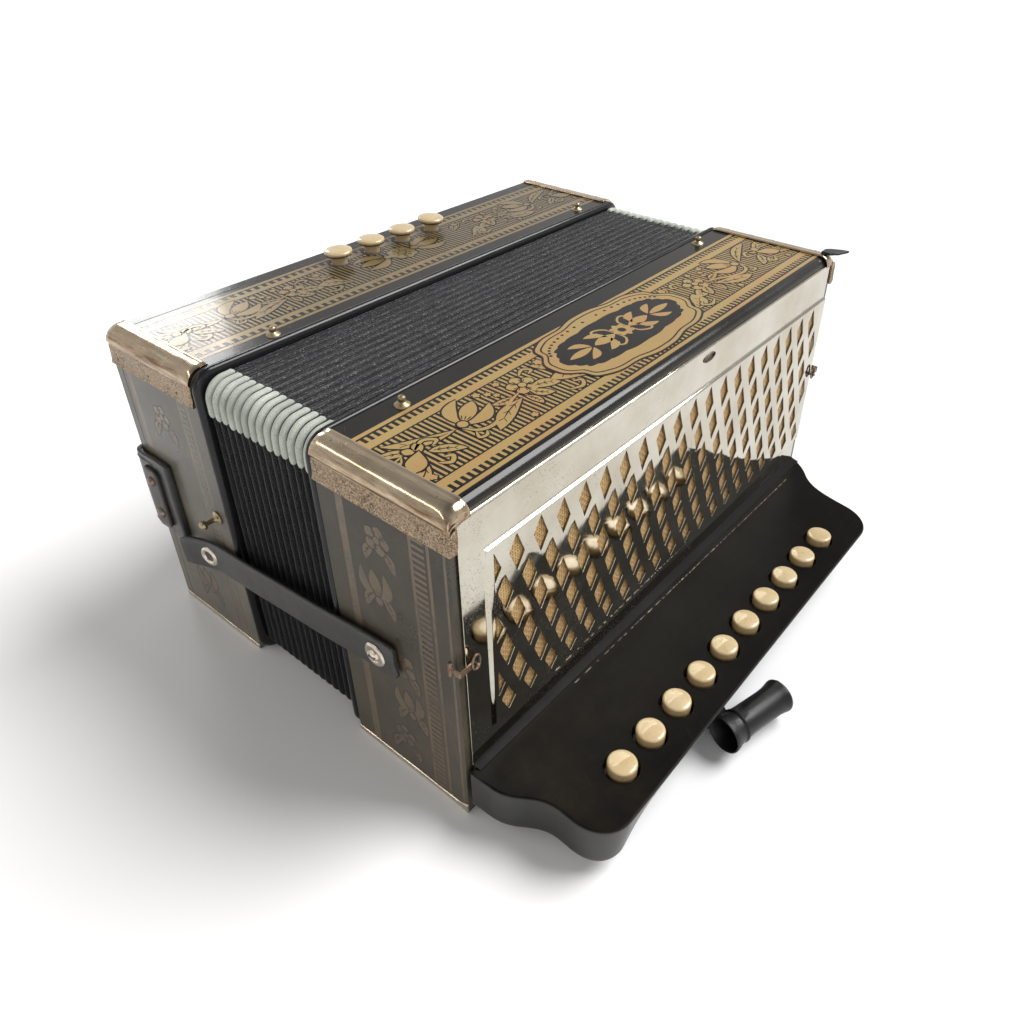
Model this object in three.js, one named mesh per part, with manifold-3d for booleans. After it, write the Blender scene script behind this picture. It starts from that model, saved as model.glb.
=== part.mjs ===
// A one-row button accordion lying on its back: the treble box at +X, the bass box at -X and the
// folded bellows between them. Millimetres, +Z up. Y runs along the keyboard, from the near end.
import * as THREE from "three";
import { mergeVertices } from "three/addons/utils/BufferGeometryUtils.js";
import Module from "manifold-3d";

const wasm = await Module();
wasm.setup();

// ---------------------------------------------------------------- driving dimensions
const GAP = 0.3; // left between neighbouring pieces
const LENGTH = 280; // of both boxes, along Y
const HEIGHT = 150; // of both boxes, along Z
const WALL = 7; // case boards
const EDGE_RADIUS = 7; // top edges of the cases, under the mouldings
const BASS_END = 5; // thickness of the outer end plate, which starts at x = 0
const BASS_WIDTH = 62;
const FRAME = 3.7; // thickness of a bellows frame
const TREBLE_START = 135;
const TREBLE_FRONT = 200; // the case's front edge, behind the grille plate
const CREST_RADIUS = 5; // rounded top front edge of the treble case

const FOLDS = 14;
const FOLD_DEPTH = 7;
const BELLOWS_INSET = 2.5; // fold crests lie this far inside the case's faces
const BELLOWS_RADIUS = 8;

const KEYS = 10;
const KEY_PITCH = 19.64;
const FIRST_KEY_Y = 38.8;
const KEY_X = 245.3; // the button row
const HINGE_X = 195;
const HINGE_Z = 17;
const BUTTON_RADIUS = 6;
const BUTTON_TOP = 31;
const BUTTON_HOLE_RADIUS = 8;
const PALLET_LOW = 50;
const PALLET_HIGH = 78;
const AXLE_RADIUS = 1.5;

const SHELF_TOP = 27.2;
const SHELF_LOW = 8;
const SHELF_FRONT = 261;
const SHELF_UNDERCUT = 10.8; // how far the front face slopes back, top to bottom
const POCKET_TOP = 22;
const COVER_TOP = 10.5;

const GRILLE_BACK = 200.5;
const GRILLE_FRONT = 201.7;
const GRILLE_LOW = 27.5;
const GRILLE_HIGH = 146;
const GRILLE_MARGIN = 3; // from each end of the box
const DIAMOND_ROWS = 6;
const DIAMOND_PITCH_Y = 12.9;
const DIAMOND_PITCH_Z = 14.1;
const DIAMOND_WIDTH = 8;
const DIAMOND_HEIGHT = 17;
const DIAMOND_SKEW = 2; // the near tip sits this much higher than the middle, the far tip lower
const DIAMOND_TOP = 126.5;
const DIAMOND_FIRST_Y = 16.5;
const DIAMOND_LAST_Y = 267;

const BASS_KEYS = 4;
const BASS_KEY_X = 17;
const BASS_KEY_Y = 111.5;
const BASS_KEY_PITCH = 21;
const BASS_SHELF_LOW = 120; // the bass action board
const BASS_SHELF_HIGH = 125;

const STRAP_WIDTH = 18;
const STRAP_THICK = 2.2;
const STRAP_PIVOT_X = 158.4;
const STRAP_PIVOT_Z = 65;
const STRAP_SLOPE = 6.5; // degrees, down towards the bass box
const STRAP_STANDOFF = 1;
const HAND_LOW = 49; // lower and upper edge of the hand strap
const HAND_HIGH = 91;
const HAND_THICK = 3;
const HAND_RISE = 30; // height of its arch off the end plate

// ---------------------------------------------------------------- shapes and solids
const finishes = {
  lacquer: { color: 0x17130f, roughness: 0.3, metalness: 0 },
  wood: { color: 0xc29a63, roughness: 0.7, metalness: 0 },
  keyboard: { color: 0x1d1a18, roughness: 0.45, metalness: 0 },
  nickel: { color: 0xb4ab9a, roughness: 0.3, metalness: 1 },
  brass: { color: 0xa98a4a, roughness: 0.35, metalness: 1 },
  steel: { color: 0x9a9a98, roughness: 0.4, metalness: 1 },
  zinc: { color: 0xa3a7a9, roughness: 0.5, metalness: 1 },
  cream: { color: 0xead7a8, roughness: 0.25, metalness: 0 },
  leather: { color: 0x1c1b1a, roughness: 0.6, metalness: 0 },
  cloth: { color: 0xc79e5c, roughness: 0.8, metalness: 0 },
  card: { color: 0x26262a, roughness: 0.7, metalness: 0 },
};

function polygon(points) {
  return new THREE.Shape(points.map(([a, b]) => new THREE.Vector2(a, b)));
}

function rectangle(a0, a1, b0, b1) {
  return polygon([[a0, b0], [a1, b0], [a1, b1], [a0, b1]]);
}

function circle(a, b, radius) {
  return new THREE.Shape().absarc(a, b, radius, 0, 2 * Math.PI, false);
}

// A rectangle with its own radius at the low corners and at the high ones.
function rounded(a0, a1, b0, b1, low, high) {
  const s = new THREE.Shape();
  s.moveTo(a0 + low, b0);
  s.lineTo(a1 - low, b0);
  if (low > 0) s.absarc(a1 - low, b0 + low, low, -Math.PI / 2, 0, false);
  s.lineTo(a1, b1 - high);
  if (high > 0) s.absarc(a1 - high, b1 - high, high, 0, Math.PI / 2, false);
  s.lineTo(a0 + high, b1);
  if (high > 0) s.absarc(a0 + high, b1 - high, high, Math.PI / 2, Math.PI, false);
  s.lineTo(a0, b0 + low);
  if (low > 0) s.absarc(a0 + low, b0 + low, low, Math.PI, 1.5 * Math.PI, false);
  return s;
}

const X = new THREE.Vector3(1, 0, 0);
const Y = new THREE.Vector3(0, 1, 0);
const Z = new THREE.Vector3(0, 0, 1);

function extrude(shape, depth, curveSegments) {
  return new THREE.ExtrudeGeometry(shape, { depth, bevelEnabled: false, curveSegments });
}

// A shape drawn in (y, z), from x0 to x1.
function alongX(shape, x0, x1, curveSegments = 4) {
  const basis = new THREE.Matrix4().makeBasis(Y, Z, X);
  return extrude(shape, x1 - x0, curveSegments).applyMatrix4(basis).translate(x0, 0, 0);
}

// A shape drawn in (x, z), from y0 to y1.
function alongY(shape, y0, y1, curveSegments = 4) {
  const basis = new THREE.Matrix4().makeBasis(X, Z, Y.clone().negate());
  return extrude(shape, y1 - y0, curveSegments).applyMatrix4(basis).translate(0, y1, 0);
}

// A shape drawn in (x, y), from z0 to z1.
function alongZ(shape, z0, z1, curveSegments = 4) {
  return extrude(shape, z1 - z0, curveSegments).translate(0, 0, z0);
}

function block(x0, x1, y0, y1, z0, z1) {
  return alongZ(rectangle(x0, x1, y0, y1), z0, z1);
}

// A profile of (radius, height) points turned about the Z axis.
function turned(points, segments = 16) {
  const profile = points.map(([r, h]) => new THREE.Vector2(r, h));
  return new THREE.LatheGeometry(profile, segments).rotateX(Math.PI / 2);
}

function toSolid(geometry) {
  const bare = geometry.index ? geometry.toNonIndexed() : geometry.clone();
  bare.deleteAttribute("normal");
  bare.deleteAttribute("uv");
  const merged = mergeVertices(bare, 1e-4);
  return new wasm.Manifold(
    new wasm.Mesh({
      numProp: 3,
      vertProperties: merged.attributes.position.array,
      triVerts: new Uint32Array(merged.index.array),
    }),
  );
}

function toGeometry(solid) {
  const mesh = solid.getMesh();
  const geometry = new THREE.BufferGeometry();
  geometry.setAttribute("position", new THREE.BufferAttribute(mesh.vertProperties, 3));
  geometry.setIndex(new THREE.BufferAttribute(mesh.triVerts, 1));
  const flat = geometry.toNonIndexed();
  flat.computeVertexNormals();
  return flat;
}

function join(...geometries) {
  return toGeometry(wasm.Manifold.union(geometries.map(toSolid)));
}

function cut(geometry, ...tools) {
  return toGeometry(toSolid(geometry).subtract(wasm.Manifold.union(tools.map(toSolid))));
}

function overlap(first, second) {
  return toGeometry(toSolid(first).intersect(toSolid(second)));
}

function mirrorY(geometry) {
  const flipped = toSolid(geometry).mirror([0, 1, 0]);
  return toGeometry(flipped).translate(0, LENGTH, 0);
}

const model = new THREE.Group();

function place(parent, name, geometry, finish) {
  const mesh = new THREE.Mesh(geometry, new THREE.MeshStandardMaterial(finishes[finish]));
  mesh.name = name;
  parent.add(mesh);
  return mesh;
}

// A pair of pieces, one at each end of the box.
function placePair(parent, name, geometry, finish) {
  place(parent, name + "_near", geometry, finish);
  place(parent, name + "_far", mirrorY(geometry), finish);
}

// ---------------------------------------------------------------- boxes
const caseOutline = rounded(0, LENGTH, 0, HEIGHT, 0, EDGE_RADIUS);
const insideLow = WALL + GAP;
const insideEnd = LENGTH - WALL - GAP;
const insideHigh = HEIGHT - WALL - GAP;

function caseRing(x0, x1) {
  const shape = caseOutline.clone();
  shape.holes.push(rectangle(WALL, LENGTH - WALL, WALL, HEIGHT - WALL));
  return alongX(shape, x0, x1);
}

function trebleCase() {
  const crest = new THREE.Shape();
  crest.moveTo(TREBLE_START - 1, -1);
  crest.lineTo(TREBLE_FRONT, -1);
  crest.lineTo(TREBLE_FRONT, HEIGHT - CREST_RADIUS);
  crest.absarc(TREBLE_FRONT - CREST_RADIUS, HEIGHT - CREST_RADIUS, CREST_RADIUS, 0, Math.PI / 2);
  crest.lineTo(TREBLE_START - 1, HEIGHT);
  return overlap(caseRing(TREBLE_START, TREBLE_FRONT), alongY(crest, -1, LENGTH + 1));
}

function bassCase() {
  const stemHoles = bassKeyPlaces().map((y) =>
    alongZ(circle(BASS_KEY_X, y, 4.8), HEIGHT - WALL - 1, HEIGHT + 1));
  return cut(caseRing(BASS_END + GAP, BASS_WIDTH), ...stemHoles);
}

function bellowsFrame(x0) {
  const inset = 0.5;
  const ring = rounded(inset, LENGTH - inset, inset, HEIGHT - inset, BELLOWS_RADIUS, BELLOWS_RADIUS);
  const width = 12;
  ring.holes.push(rectangle(width, LENGTH - width, width, HEIGHT - width));
  return alongX(ring, x0, x0 + FRAME);
}

// A metal moulding bent over a case's top near edge.
function moulding(x0, x1) {
  const inner = -GAP;
  const outer = inner - 0.8;
  const top = HEIGHT - outer;
  const foot = HEIGHT - 15;
  const reach = 9;
  const bend = EDGE_RADIUS;
  const s = new THREE.Shape();
  s.moveTo(outer, foot);
  s.lineTo(inner, foot);
  s.lineTo(inner, HEIGHT - bend);
  s.absarc(bend, HEIGHT - bend, bend - inner, Math.PI, Math.PI / 2, true);
  s.lineTo(reach, HEIGHT - inner);
  s.lineTo(reach, top);
  s.lineTo(bend, top);
  s.absarc(bend, HEIGHT - bend, bend - outer, Math.PI / 2, Math.PI, false);
  return alongX(s, x0, x1, 6);
}

// The treble moulding's front end is folded round the corner as a cap.
function cappedMoulding(x0, x1) {
  const edge = -1.1;
  const cap = rounded(edge, 20, HEIGHT - 15, HEIGHT + 1.1, 0, EDGE_RADIUS);
  const plate = alongX(cap, x1 - 0.9, x1, 6);
  const corner = block(x1 - 2, x1 + 1, edge - 1, GRILLE_MARGIN - GAP, HEIGHT - 16, HEIGHT + 2);
  return join(moulding(x0, x1), overlap(plate, corner));
}

// ---------------------------------------------------------------- grille
function grillePlate() {
  const margin = GRILLE_MARGIN;
  const plate = rounded(margin, LENGTH - margin, GRILLE_LOW, GRILLE_HIGH, 0, 1.5);
  const tall = DIAMOND_HEIGHT / 2;
  for (let row = 0; row < DIAMOND_ROWS; row++) {
    const z = DIAMOND_TOP - DIAMOND_HEIGHT / 2 - row * DIAMOND_PITCH_Z;
    const first = DIAMOND_FIRST_Y + (row % 2 ? 0.5 : 1) * DIAMOND_PITCH_Y;
    for (let y = first; y < DIAMOND_LAST_Y - DIAMOND_WIDTH / 2; y += DIAMOND_PITCH_Y) {
      const near = [y - DIAMOND_WIDTH / 2, z + DIAMOND_SKEW];
      const far = [y + DIAMOND_WIDTH / 2, z - DIAMOND_SKEW];
      plate.holes.push(polygon([[y, z - tall], far, [y, z + tall], near]));
    }
    if (row % 2 === 0) {
      const edge = DIAMOND_FIRST_Y;
      const tip = [edge + DIAMOND_WIDTH / 2, z - DIAMOND_SKEW];
      plate.holes.push(polygon([[edge, z - tall], tip, [edge, z + tall]])); // half a diamond
    }
  }
  return alongX(plate, GRILLE_BACK, GRILLE_FRONT);
}

function grilleCloth() {
  return block(GRILLE_BACK - 1, GRILLE_BACK - GAP, 9, LENGTH - 9, 36, 134);
}

// A hook hinged on the end face; its nose reaches over the grille plate's front.
const HOOK_X = 198.4;
const HOOK_Y = -2;
const HOOK_Z = 84;

function grilleHook() {
  const nose = polygon([
    [HOOK_X, HOOK_Y - 0.5], [203.2, HOOK_Y - 0.5], [203.2, 6], [202.2, 6],
    [202.2, HOOK_Y + 0.5], [HOOK_X, HOOK_Y + 0.5],
  ]);
  const barrel = alongZ(circle(HOOK_X, HOOK_Y, 1.3), HOOK_Z - 5, HOOK_Z + 5);
  return join(alongZ(nose, HOOK_Z - 3.5, HOOK_Z + 3.5), barrel);
}

// ---------------------------------------------------------------- keyboard
const keyPlaces = Array.from({ length: KEYS }, (_, i) => FIRST_KEY_Y + i * KEY_PITCH);

function shelfOutline() {
  const back = GRILLE_FRONT + 0.6;
  const s = new THREE.Shape();
  s.moveTo(back, 0);
  s.lineTo(211, 0);
  s.bezierCurveTo(224, 0, 226, 9.4, 238, 9.2);
  s.lineTo(245, 8.8);
  s.bezierCurveTo(254, 8.8, SHELF_FRONT, 14, SHELF_FRONT, 23);
  s.lineTo(SHELF_FRONT, 234);
  s.bezierCurveTo(SHELF_FRONT, 243, 254, 250, 245, 251.6);
  s.bezierCurveTo(231, 254.5, 222, 256, 214, 267);
  s.quadraticCurveTo(209, 273, back, 276);
  return s;
}

function keyboardShelf() {
  const body = alongZ(shelfOutline(), SHELF_LOW, SHELF_TOP, 14);
  const foot = SHELF_FRONT - SHELF_UNDERCUT;
  const slope = SHELF_UNDERCUT / (SHELF_TOP - SHELF_LOW);
  const lip = 1.2; // upright edge above the slope
  const undercut = polygon([
    [SHELF_FRONT + 5, SHELF_LOW - 3], [SHELF_FRONT + 5, SHELF_TOP - lip],
    [SHELF_FRONT + 0.01, SHELF_TOP - lip], [foot, SHELF_LOW], [foot - 3 * slope, SHELF_LOW - 3],
  ]);
  const first = keyPlaces[0] - 10;
  const last = keyPlaces[KEYS - 1] + 10;
  const pocket = block(GRILLE_BACK, 249, first, last, SHELF_LOW - 1, POCKET_TOP);
  const holes = keyPlaces.map((y) =>
    alongZ(circle(KEY_X, y, BUTTON_HOLE_RADIUS), COVER_TOP + 5.5, SHELF_TOP + 1, 18));
  return cut(body, alongY(undercut, -5, LENGTH + 5), pocket, ...holes);
}

function keyboardCover() {
  const first = keyPlaces[0] - 10 + GAP;
  const last = keyPlaces[KEYS - 1] + 10 - GAP;
  return block(GRILLE_FRONT + 0.6, 249 - GAP, first, last, SHELF_LOW, COVER_TOP);
}

// Drawn about the key's own hinge: a bell crank with a hub, an arm to the button and a pallet.
function keyLever() {
  const hub = alongY(circle(0, 0, 4), -3, 3, 6);
  const arm = block(0, KEY_X - HINGE_X + 3, -2, 2, -1.6, 1.4);
  const riser = block(-4.7, -1.7, -2, 2, -2, PALLET_HIGH - HINGE_Z);
  const pallet = block(-8.7, -4.4, -7, 7, PALLET_LOW - HINGE_Z, PALLET_HIGH - HINGE_Z);
  const bore = alongY(circle(0, 0, AXLE_RADIUS + 0.45), -4, 4, 5);
  return cut(join(hub, arm, riser, pallet), bore);
}

function keyButton() {
  const seat = 1.4 + GAP;
  const top = BUTTON_TOP - HINGE_Z;
  const r = BUTTON_RADIUS;
  const shoulder = seat + 5;
  return turned([
    [0, seat], [3, seat], [3, shoulder], [r - 0.4, shoulder], [r, shoulder + 0.4],
    [r, top - 1.8], [r - 0.7, top - 0.8], [r - 2.5, top - 0.2], [0, top],
  ], 16).translate(KEY_X - HINGE_X, 0, 0);
}

// ---------------------------------------------------------------- inside the treble box
const ACTION_BACK = 181;
const ACTION_FRONT = 186;

function trebleActionBoard() {
  const holes = keyPlaces.map((y) =>
    block(ACTION_BACK - 1, ACTION_FRONT + 1, y - 5, y + 5, PALLET_LOW + 4, PALLET_HIGH - 4));
  const board = block(ACTION_BACK, ACTION_FRONT, insideLow, insideEnd, insideLow, insideHigh);
  return cut(board, ...holes);
}

function trebleReedBlock() {
  const back = 150;
  const front = ACTION_BACK - GAP;
  const chambers = keyPlaces.map((y) =>
    block(back + 5, front + 1, y - 6, y + 6, PALLET_LOW + 4, PALLET_HIGH - 4));
  const first = keyPlaces[0] - 11;
  const last = keyPlaces[KEYS - 1] + 11;
  return cut(block(back, front, first, last, PALLET_LOW, PALLET_HIGH), ...chambers);
}

function trebleReedPlate() {
  const low = PALLET_HIGH + GAP;
  return block(153, 178, keyPlaces[0] - 9, keyPlaces[KEYS - 1] + 9, low, low + 1.2);
}

function keyAxle() {
  return alongY(circle(HINGE_X, HINGE_Z, AXLE_RADIUS), insideLow, insideEnd, 5);
}

// ---------------------------------------------------------------- thumb loop
const LOOP_CENTRE = new THREE.Vector3(267.6, 106.5, 10.4);
const LOOP_TURN = 14; // degrees off the Y axis, towards +X at the far end
const LOOP_LENGTH = 36;
const LOOP_BORE = 5.4;

function thumbLoop() {
  const half = LOOP_LENGTH / 2;
  const b = LOOP_BORE;
  const tube = turned([
    [b + 1.6, -half], [b + 3.2, -half], [b + 3.2, -half + 1.5], [b + 2, -half + 7],
    [b + 1.3, -half + 10], [b + 1.3, half - 5], [b + 2.3, half - 0.8], [b + 2.1, half],
    [b + 1, half], [b, half - 4], [b, -half + 5], [b + 1.6, -half],
  ], 20);
  tube.rotateX(-Math.PI / 2);
  tube.rotateZ(THREE.MathUtils.degToRad(-LOOP_TURN));
  tube.translate(LOOP_CENTRE.x, LOOP_CENTRE.y, LOOP_CENTRE.z);
  const tab = block(238, 258.6, 91, 106, SHELF_LOW - GAP - 2.4, SHELF_LOW - GAP);
  const bore = alongY(circle(0, 0, b + 0.6), -half - 3, half + 3, 5);
  bore.rotateZ(THREE.MathUtils.degToRad(-LOOP_TURN));
  bore.translate(LOOP_CENTRE.x, LOOP_CENTRE.y, LOOP_CENTRE.z);
  return join(tube, cut(tab, bore));
}

// ---------------------------------------------------------------- bellows and their straps
function foldedBellows() {
  const start = BASS_WIDTH + GAP + FRAME + GAP;
  const end = TREBLE_START - GAP - FRAME - GAP;
  const pitch = (end - start) / FOLDS;
  const low = BELLOWS_INSET + FOLD_DEPTH;
  const valley = rounded(low, LENGTH - low, low, HEIGHT - low, 2, 2);
  const flat = 0.6; // the blunt crest of a fold
  const side = pitch / 2 - flat / 2 + 0.02;
  const folds = [];
  for (let i = 0; i < FOLDS; i++) {
    const fold = new THREE.ExtrudeGeometry(valley, {
      depth: flat,
      bevelThickness: side,
      bevelSize: FOLD_DEPTH,
      bevelSegments: 1,
      curveSegments: 1,
    });
    fold.applyMatrix4(new THREE.Matrix4().makeBasis(Y, Z, X));
    folds.push(fold.translate(start + pitch * (i + 0.5) - flat / 2, 0, 0));
  }
  const wall = low + 1.2;
  const hollow = block(start - 1, end + 1, wall, LENGTH - wall, wall, HEIGHT - wall);
  return cut(join(...folds), hollow);
}

// Drawn about its screw, reaching towards -X.
function bellowsStrap() {
  const half = STRAP_WIDTH / 2;
  const reach = 130;
  const eyelet = 114;
  const band = rounded(-reach, 9, -half, half, 4, 4);
  band.holes.push(circle(-eyelet, 0, 2.8));
  return alongY(band, -STRAP_STANDOFF - STRAP_THICK, -STRAP_STANDOFF, 4);
}

function strapAt(y, side) {
  const arm = new THREE.Group();
  arm.position.set(STRAP_PIVOT_X, y, STRAP_PIVOT_Z);
  arm.rotation.y = THREE.MathUtils.degToRad(-STRAP_SLOPE);
  const flip = side === "far" ? 2 * STRAP_STANDOFF + STRAP_THICK : 0;
  const band = bellowsStrap().translate(0, flip, 0);
  place(arm, "bellows_strap_" + side, band, "leather");
  return arm;
}

function handStrap() {
  const t = HAND_THICK;
  const face = -GAP; // the side that meets the near end face
  const tip = 24;
  const half = LENGTH / 2;
  const s = new THREE.Shape();
  s.moveTo(tip, face);
  s.lineTo(-GAP, face);
  s.lineTo(-GAP, 12);
  s.bezierCurveTo(-GAP, 40, -HAND_RISE, 60, -HAND_RISE, half);
  s.bezierCurveTo(-HAND_RISE, LENGTH - 60, -GAP, LENGTH - 40, -GAP, LENGTH - 12);
  s.lineTo(-GAP, LENGTH - face);
  s.lineTo(tip, LENGTH - face);
  s.lineTo(tip, LENGTH - face + t);
  s.lineTo(-GAP - t + 2, LENGTH - face + t);
  s.lineTo(-GAP - t, LENGTH - face + t - 2);
  s.lineTo(-GAP - t, LENGTH - 12);
  s.bezierCurveTo(-GAP - t, LENGTH - 40, -HAND_RISE - t, LENGTH - 60, -HAND_RISE - t, half);
  s.bezierCurveTo(-HAND_RISE - t, 60, -GAP - t, 40, -GAP - t, 12);
  s.lineTo(-GAP - t, face - t + 2);
  s.lineTo(-GAP - t + 2, face - t);
  s.lineTo(tip, face - t);
  return alongZ(s, HAND_LOW, HAND_HIGH, 9);
}

function handStrapPlate() {
  const back = -GAP - HAND_THICK - GAP;
  const middle = (HAND_LOW + HAND_HIGH) / 2;
  const plate = alongY(rounded(5, 17, middle - 16, middle + 16, 3, 3), back - 1.2, back, 3);
  const heads = [-9, 9].map((z) =>
    alongY(circle(11, middle + z, 2.6), back - 2.4, back - 1, 4));
  return join(plate, ...heads);
}

// A ball-headed stud for the strap's eyelet, drawn along Z and turned to point out of the near end.
function strapStud() {
  const stud = turned([
    [0, 0], [4.5, 0], [4.5, 1], [2.2, 1.8], [1.7, 3], [1.7, 7], [2.9, 8.4], [2.9, 9.6],
    [1.8, 11], [0, 11.4],
  ], 12);
  return stud.rotateX(Math.PI / 2).translate(55, -GAP, 77);
}

// ---------------------------------------------------------------- inside the bass box
function bassKeyPlaces() {
  return Array.from({ length: BASS_KEYS }, (_, i) => BASS_KEY_Y + i * BASS_KEY_PITCH);
}

const bassInnerStart = BASS_END + GAP;
const bassInnerEnd = BASS_WIDTH - GAP;

function bassActionBoard() {
  const floor = block(bassInnerStart, bassInnerEnd, insideLow, insideEnd, BASS_SHELF_LOW, BASS_SHELF_HIGH);
  const upstand = block(bassInnerEnd - 5, bassInnerEnd, insideLow, insideEnd, BASS_SHELF_LOW, insideHigh);
  const holes = bassKeyPlaces().map((y) =>
    alongZ(circle(BASS_KEY_X, y, 6), BASS_SHELF_LOW - 1, BASS_SHELF_HIGH + 1));
  return cut(join(floor, upstand), ...holes);
}

function bassReedBlock() {
  const places = bassKeyPlaces();
  const wells = places.map((y) =>
    block(BASS_KEY_X - 9, BASS_KEY_X + 9, y - 9, y + 9, 75, BASS_SHELF_LOW));
  const first = places[0] - 14;
  const last = places[BASS_KEYS - 1] + 14;
  const body = block(bassInnerStart, 40, first, last, 70, BASS_SHELF_LOW - GAP);
  return cut(body, ...wells);
}

function bassReedPlate() {
  const places = bassKeyPlaces();
  const low = 40 + GAP;
  return block(low, low + 1.2, places[0] - 12, places[BASS_KEYS - 1] + 12, 74, 116);
}

function bassButton() {
  const low = BASS_SHELF_LOW - 1;
  return turned([
    [0, low], [1.5, low], [1.5, 136], [4, 136], [4, HEIGHT + 3.2], [6.6, HEIGHT + 4],
    [6.9, HEIGHT + 5], [6.2, HEIGHT + 6.2], [3.5, HEIGHT + 7], [0, HEIGHT + 7.2],
  ], 18);
}

function bassPallet() {
  const high = BASS_SHELF_LOW - 1.3;
  return turned([[0, high - 4], [7.6, high - 4], [7.6, high], [0, high]], 16);
}

const AIR_Y = 62;
const AIR_Z = 108;

function bassEndPlate() {
  const plate = alongX(caseOutline, 0, BASS_END);
  return cut(plate, alongX(circle(AIR_Y, AIR_Z, 6), -1, BASS_END + 1, 6));
}

// Drawn along Z and turned to point out of the bass end; its inner disc covers the air hole.
function airButton() {
  const inside = -(BASS_END + GAP);
  const valve = turned([
    [0, inside - 2.5], [9, inside - 2.5], [9, inside], [2, inside], [2, 6], [6.5, 6.6],
    [6.8, 8], [5.5, 9.4], [0, 10],
  ], 18);
  return valve.rotateY(-Math.PI / 2).translate(0, AIR_Y, AIR_Z);
}

// ---------------------------------------------------------------- assembly
const treble = new THREE.Group();
const bass = new THREE.Group();
model.add(treble, bass);

place(treble, "treble_case", trebleCase(), "lacquer");
place(treble, "treble_action_board", trebleActionBoard(), "wood");
place(treble, "treble_reed_block", trebleReedBlock(), "wood");
place(treble, "treble_reed_plate", trebleReedPlate(), "zinc");
place(treble, "grille_plate", grillePlate(), "nickel");
place(treble, "grille_cloth", grilleCloth(), "cloth");
place(treble, "keyboard_shelf", keyboardShelf(), "keyboard");
place(treble, "keyboard_cover", keyboardCover(), "keyboard");
place(treble, "key_axle", keyAxle(), "steel");
place(treble, "thumb_loop", thumbLoop(), "leather");
place(treble, "bellows_frame_treble", bellowsFrame(TREBLE_START - GAP - FRAME), "lacquer");
placePair(treble, "treble_moulding", cappedMoulding(TREBLE_START, GRILLE_FRONT), "nickel");
placePair(treble, "grille_hook", grilleHook(), "nickel");

keyPlaces.forEach((y, i) => {
  const key = new THREE.Group();
  key.position.set(HINGE_X, y, HINGE_Z);
  place(key, "treble_lever_" + (i + 1), keyLever(), "steel");
  place(key, "treble_button_" + (i + 1), keyButton(), "cream");
  treble.add(key);
});

treble.add(strapAt(0, "near"), strapAt(LENGTH, "far"));
place(treble, "bellows", foldedBellows(), "card");

place(bass, "bass_case", bassCase(), "lacquer");
place(bass, "bass_end_plate", bassEndPlate(), "lacquer");
place(bass, "bass_action_board", bassActionBoard(), "wood");
place(bass, "bass_reed_block", bassReedBlock(), "wood");
place(bass, "bass_reed_plate", bassReedPlate(), "zinc");
place(bass, "bellows_frame_bass", bellowsFrame(BASS_WIDTH + GAP), "lacquer");
place(bass, "hand_strap", handStrap(), "leather");
placePair(bass, "hand_strap_plate", handStrapPlate(), "nickel");
placePair(bass, "bass_moulding", moulding(0, BASS_WIDTH), "nickel");
placePair(bass, "strap_stud", strapStud(), "brass");

bassKeyPlaces().forEach((y, i) => {
  const key = new THREE.Group();
  key.position.set(BASS_KEY_X, y, 0);
  place(key, "bass_button_" + (i + 1), bassButton(), "cream");
  place(key, "bass_pallet_" + (i + 1), bassPallet(), "wood");
  bass.add(key);
});
place(bass, "air_button", airButton(), "cream");

// The origin is the bottom centre of the whole object's box.
model.updateMatrixWorld(true);
const bounds = new THREE.Box3().setFromObject(model, true);
const centre = bounds.getCenter(new THREE.Vector3());
model.position.set(-centre.x, -centre.y, -bounds.min.z);

export default model;
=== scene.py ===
import math
import random

import bmesh
import bpy
from mathutils import Matrix, Vector
from mathutils.geometry import tessellate_polygon


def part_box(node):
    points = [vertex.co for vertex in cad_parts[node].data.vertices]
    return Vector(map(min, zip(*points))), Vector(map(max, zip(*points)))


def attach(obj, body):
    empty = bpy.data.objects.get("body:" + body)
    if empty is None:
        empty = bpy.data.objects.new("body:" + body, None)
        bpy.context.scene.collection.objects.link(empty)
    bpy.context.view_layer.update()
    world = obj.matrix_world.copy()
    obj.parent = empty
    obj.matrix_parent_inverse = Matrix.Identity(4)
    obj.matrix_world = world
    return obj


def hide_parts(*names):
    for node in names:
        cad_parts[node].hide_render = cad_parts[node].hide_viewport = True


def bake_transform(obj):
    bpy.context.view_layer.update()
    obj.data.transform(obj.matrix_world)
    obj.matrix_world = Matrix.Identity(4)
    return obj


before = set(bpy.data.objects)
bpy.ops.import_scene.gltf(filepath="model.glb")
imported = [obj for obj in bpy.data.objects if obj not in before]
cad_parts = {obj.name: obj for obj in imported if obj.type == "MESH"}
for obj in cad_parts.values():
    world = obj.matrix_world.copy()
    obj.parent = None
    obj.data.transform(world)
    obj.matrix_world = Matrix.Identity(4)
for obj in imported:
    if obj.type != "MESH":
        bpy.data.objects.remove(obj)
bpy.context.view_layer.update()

# Shapes are drawn in millimetres, x from the bass end plate's outer face and y from the cases'
# near end, and made in metres in the frame's own axes.
MM = 0.001
scene = bpy.context.scene


def box_mm(node):
    low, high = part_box(node)
    return [c / MM for c in low], [c / MM for c in high]


(_, CASE_Y0, _), (_, CASE_Y1, CASE_Z1) = box_mm("treble_case")
BASS_X0 = box_mm("bass_end_plate")[0][0]
(_, _, GRILLE_Z0), (_, _, GRILLE_Z1) = box_mm("grille_plate")
SHELF_X0 = box_mm("keyboard_shelf")[0][0]
CASE_LENGTH = CASE_Y1 - CASE_Y0
# The two end faces: a name, what turns the near end's y into this end's, and its outward axis.
ENDS = (("near", lambda y: y, "-Y"), ("far", lambda y: CASE_LENGTH - y, "Y"))


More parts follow.
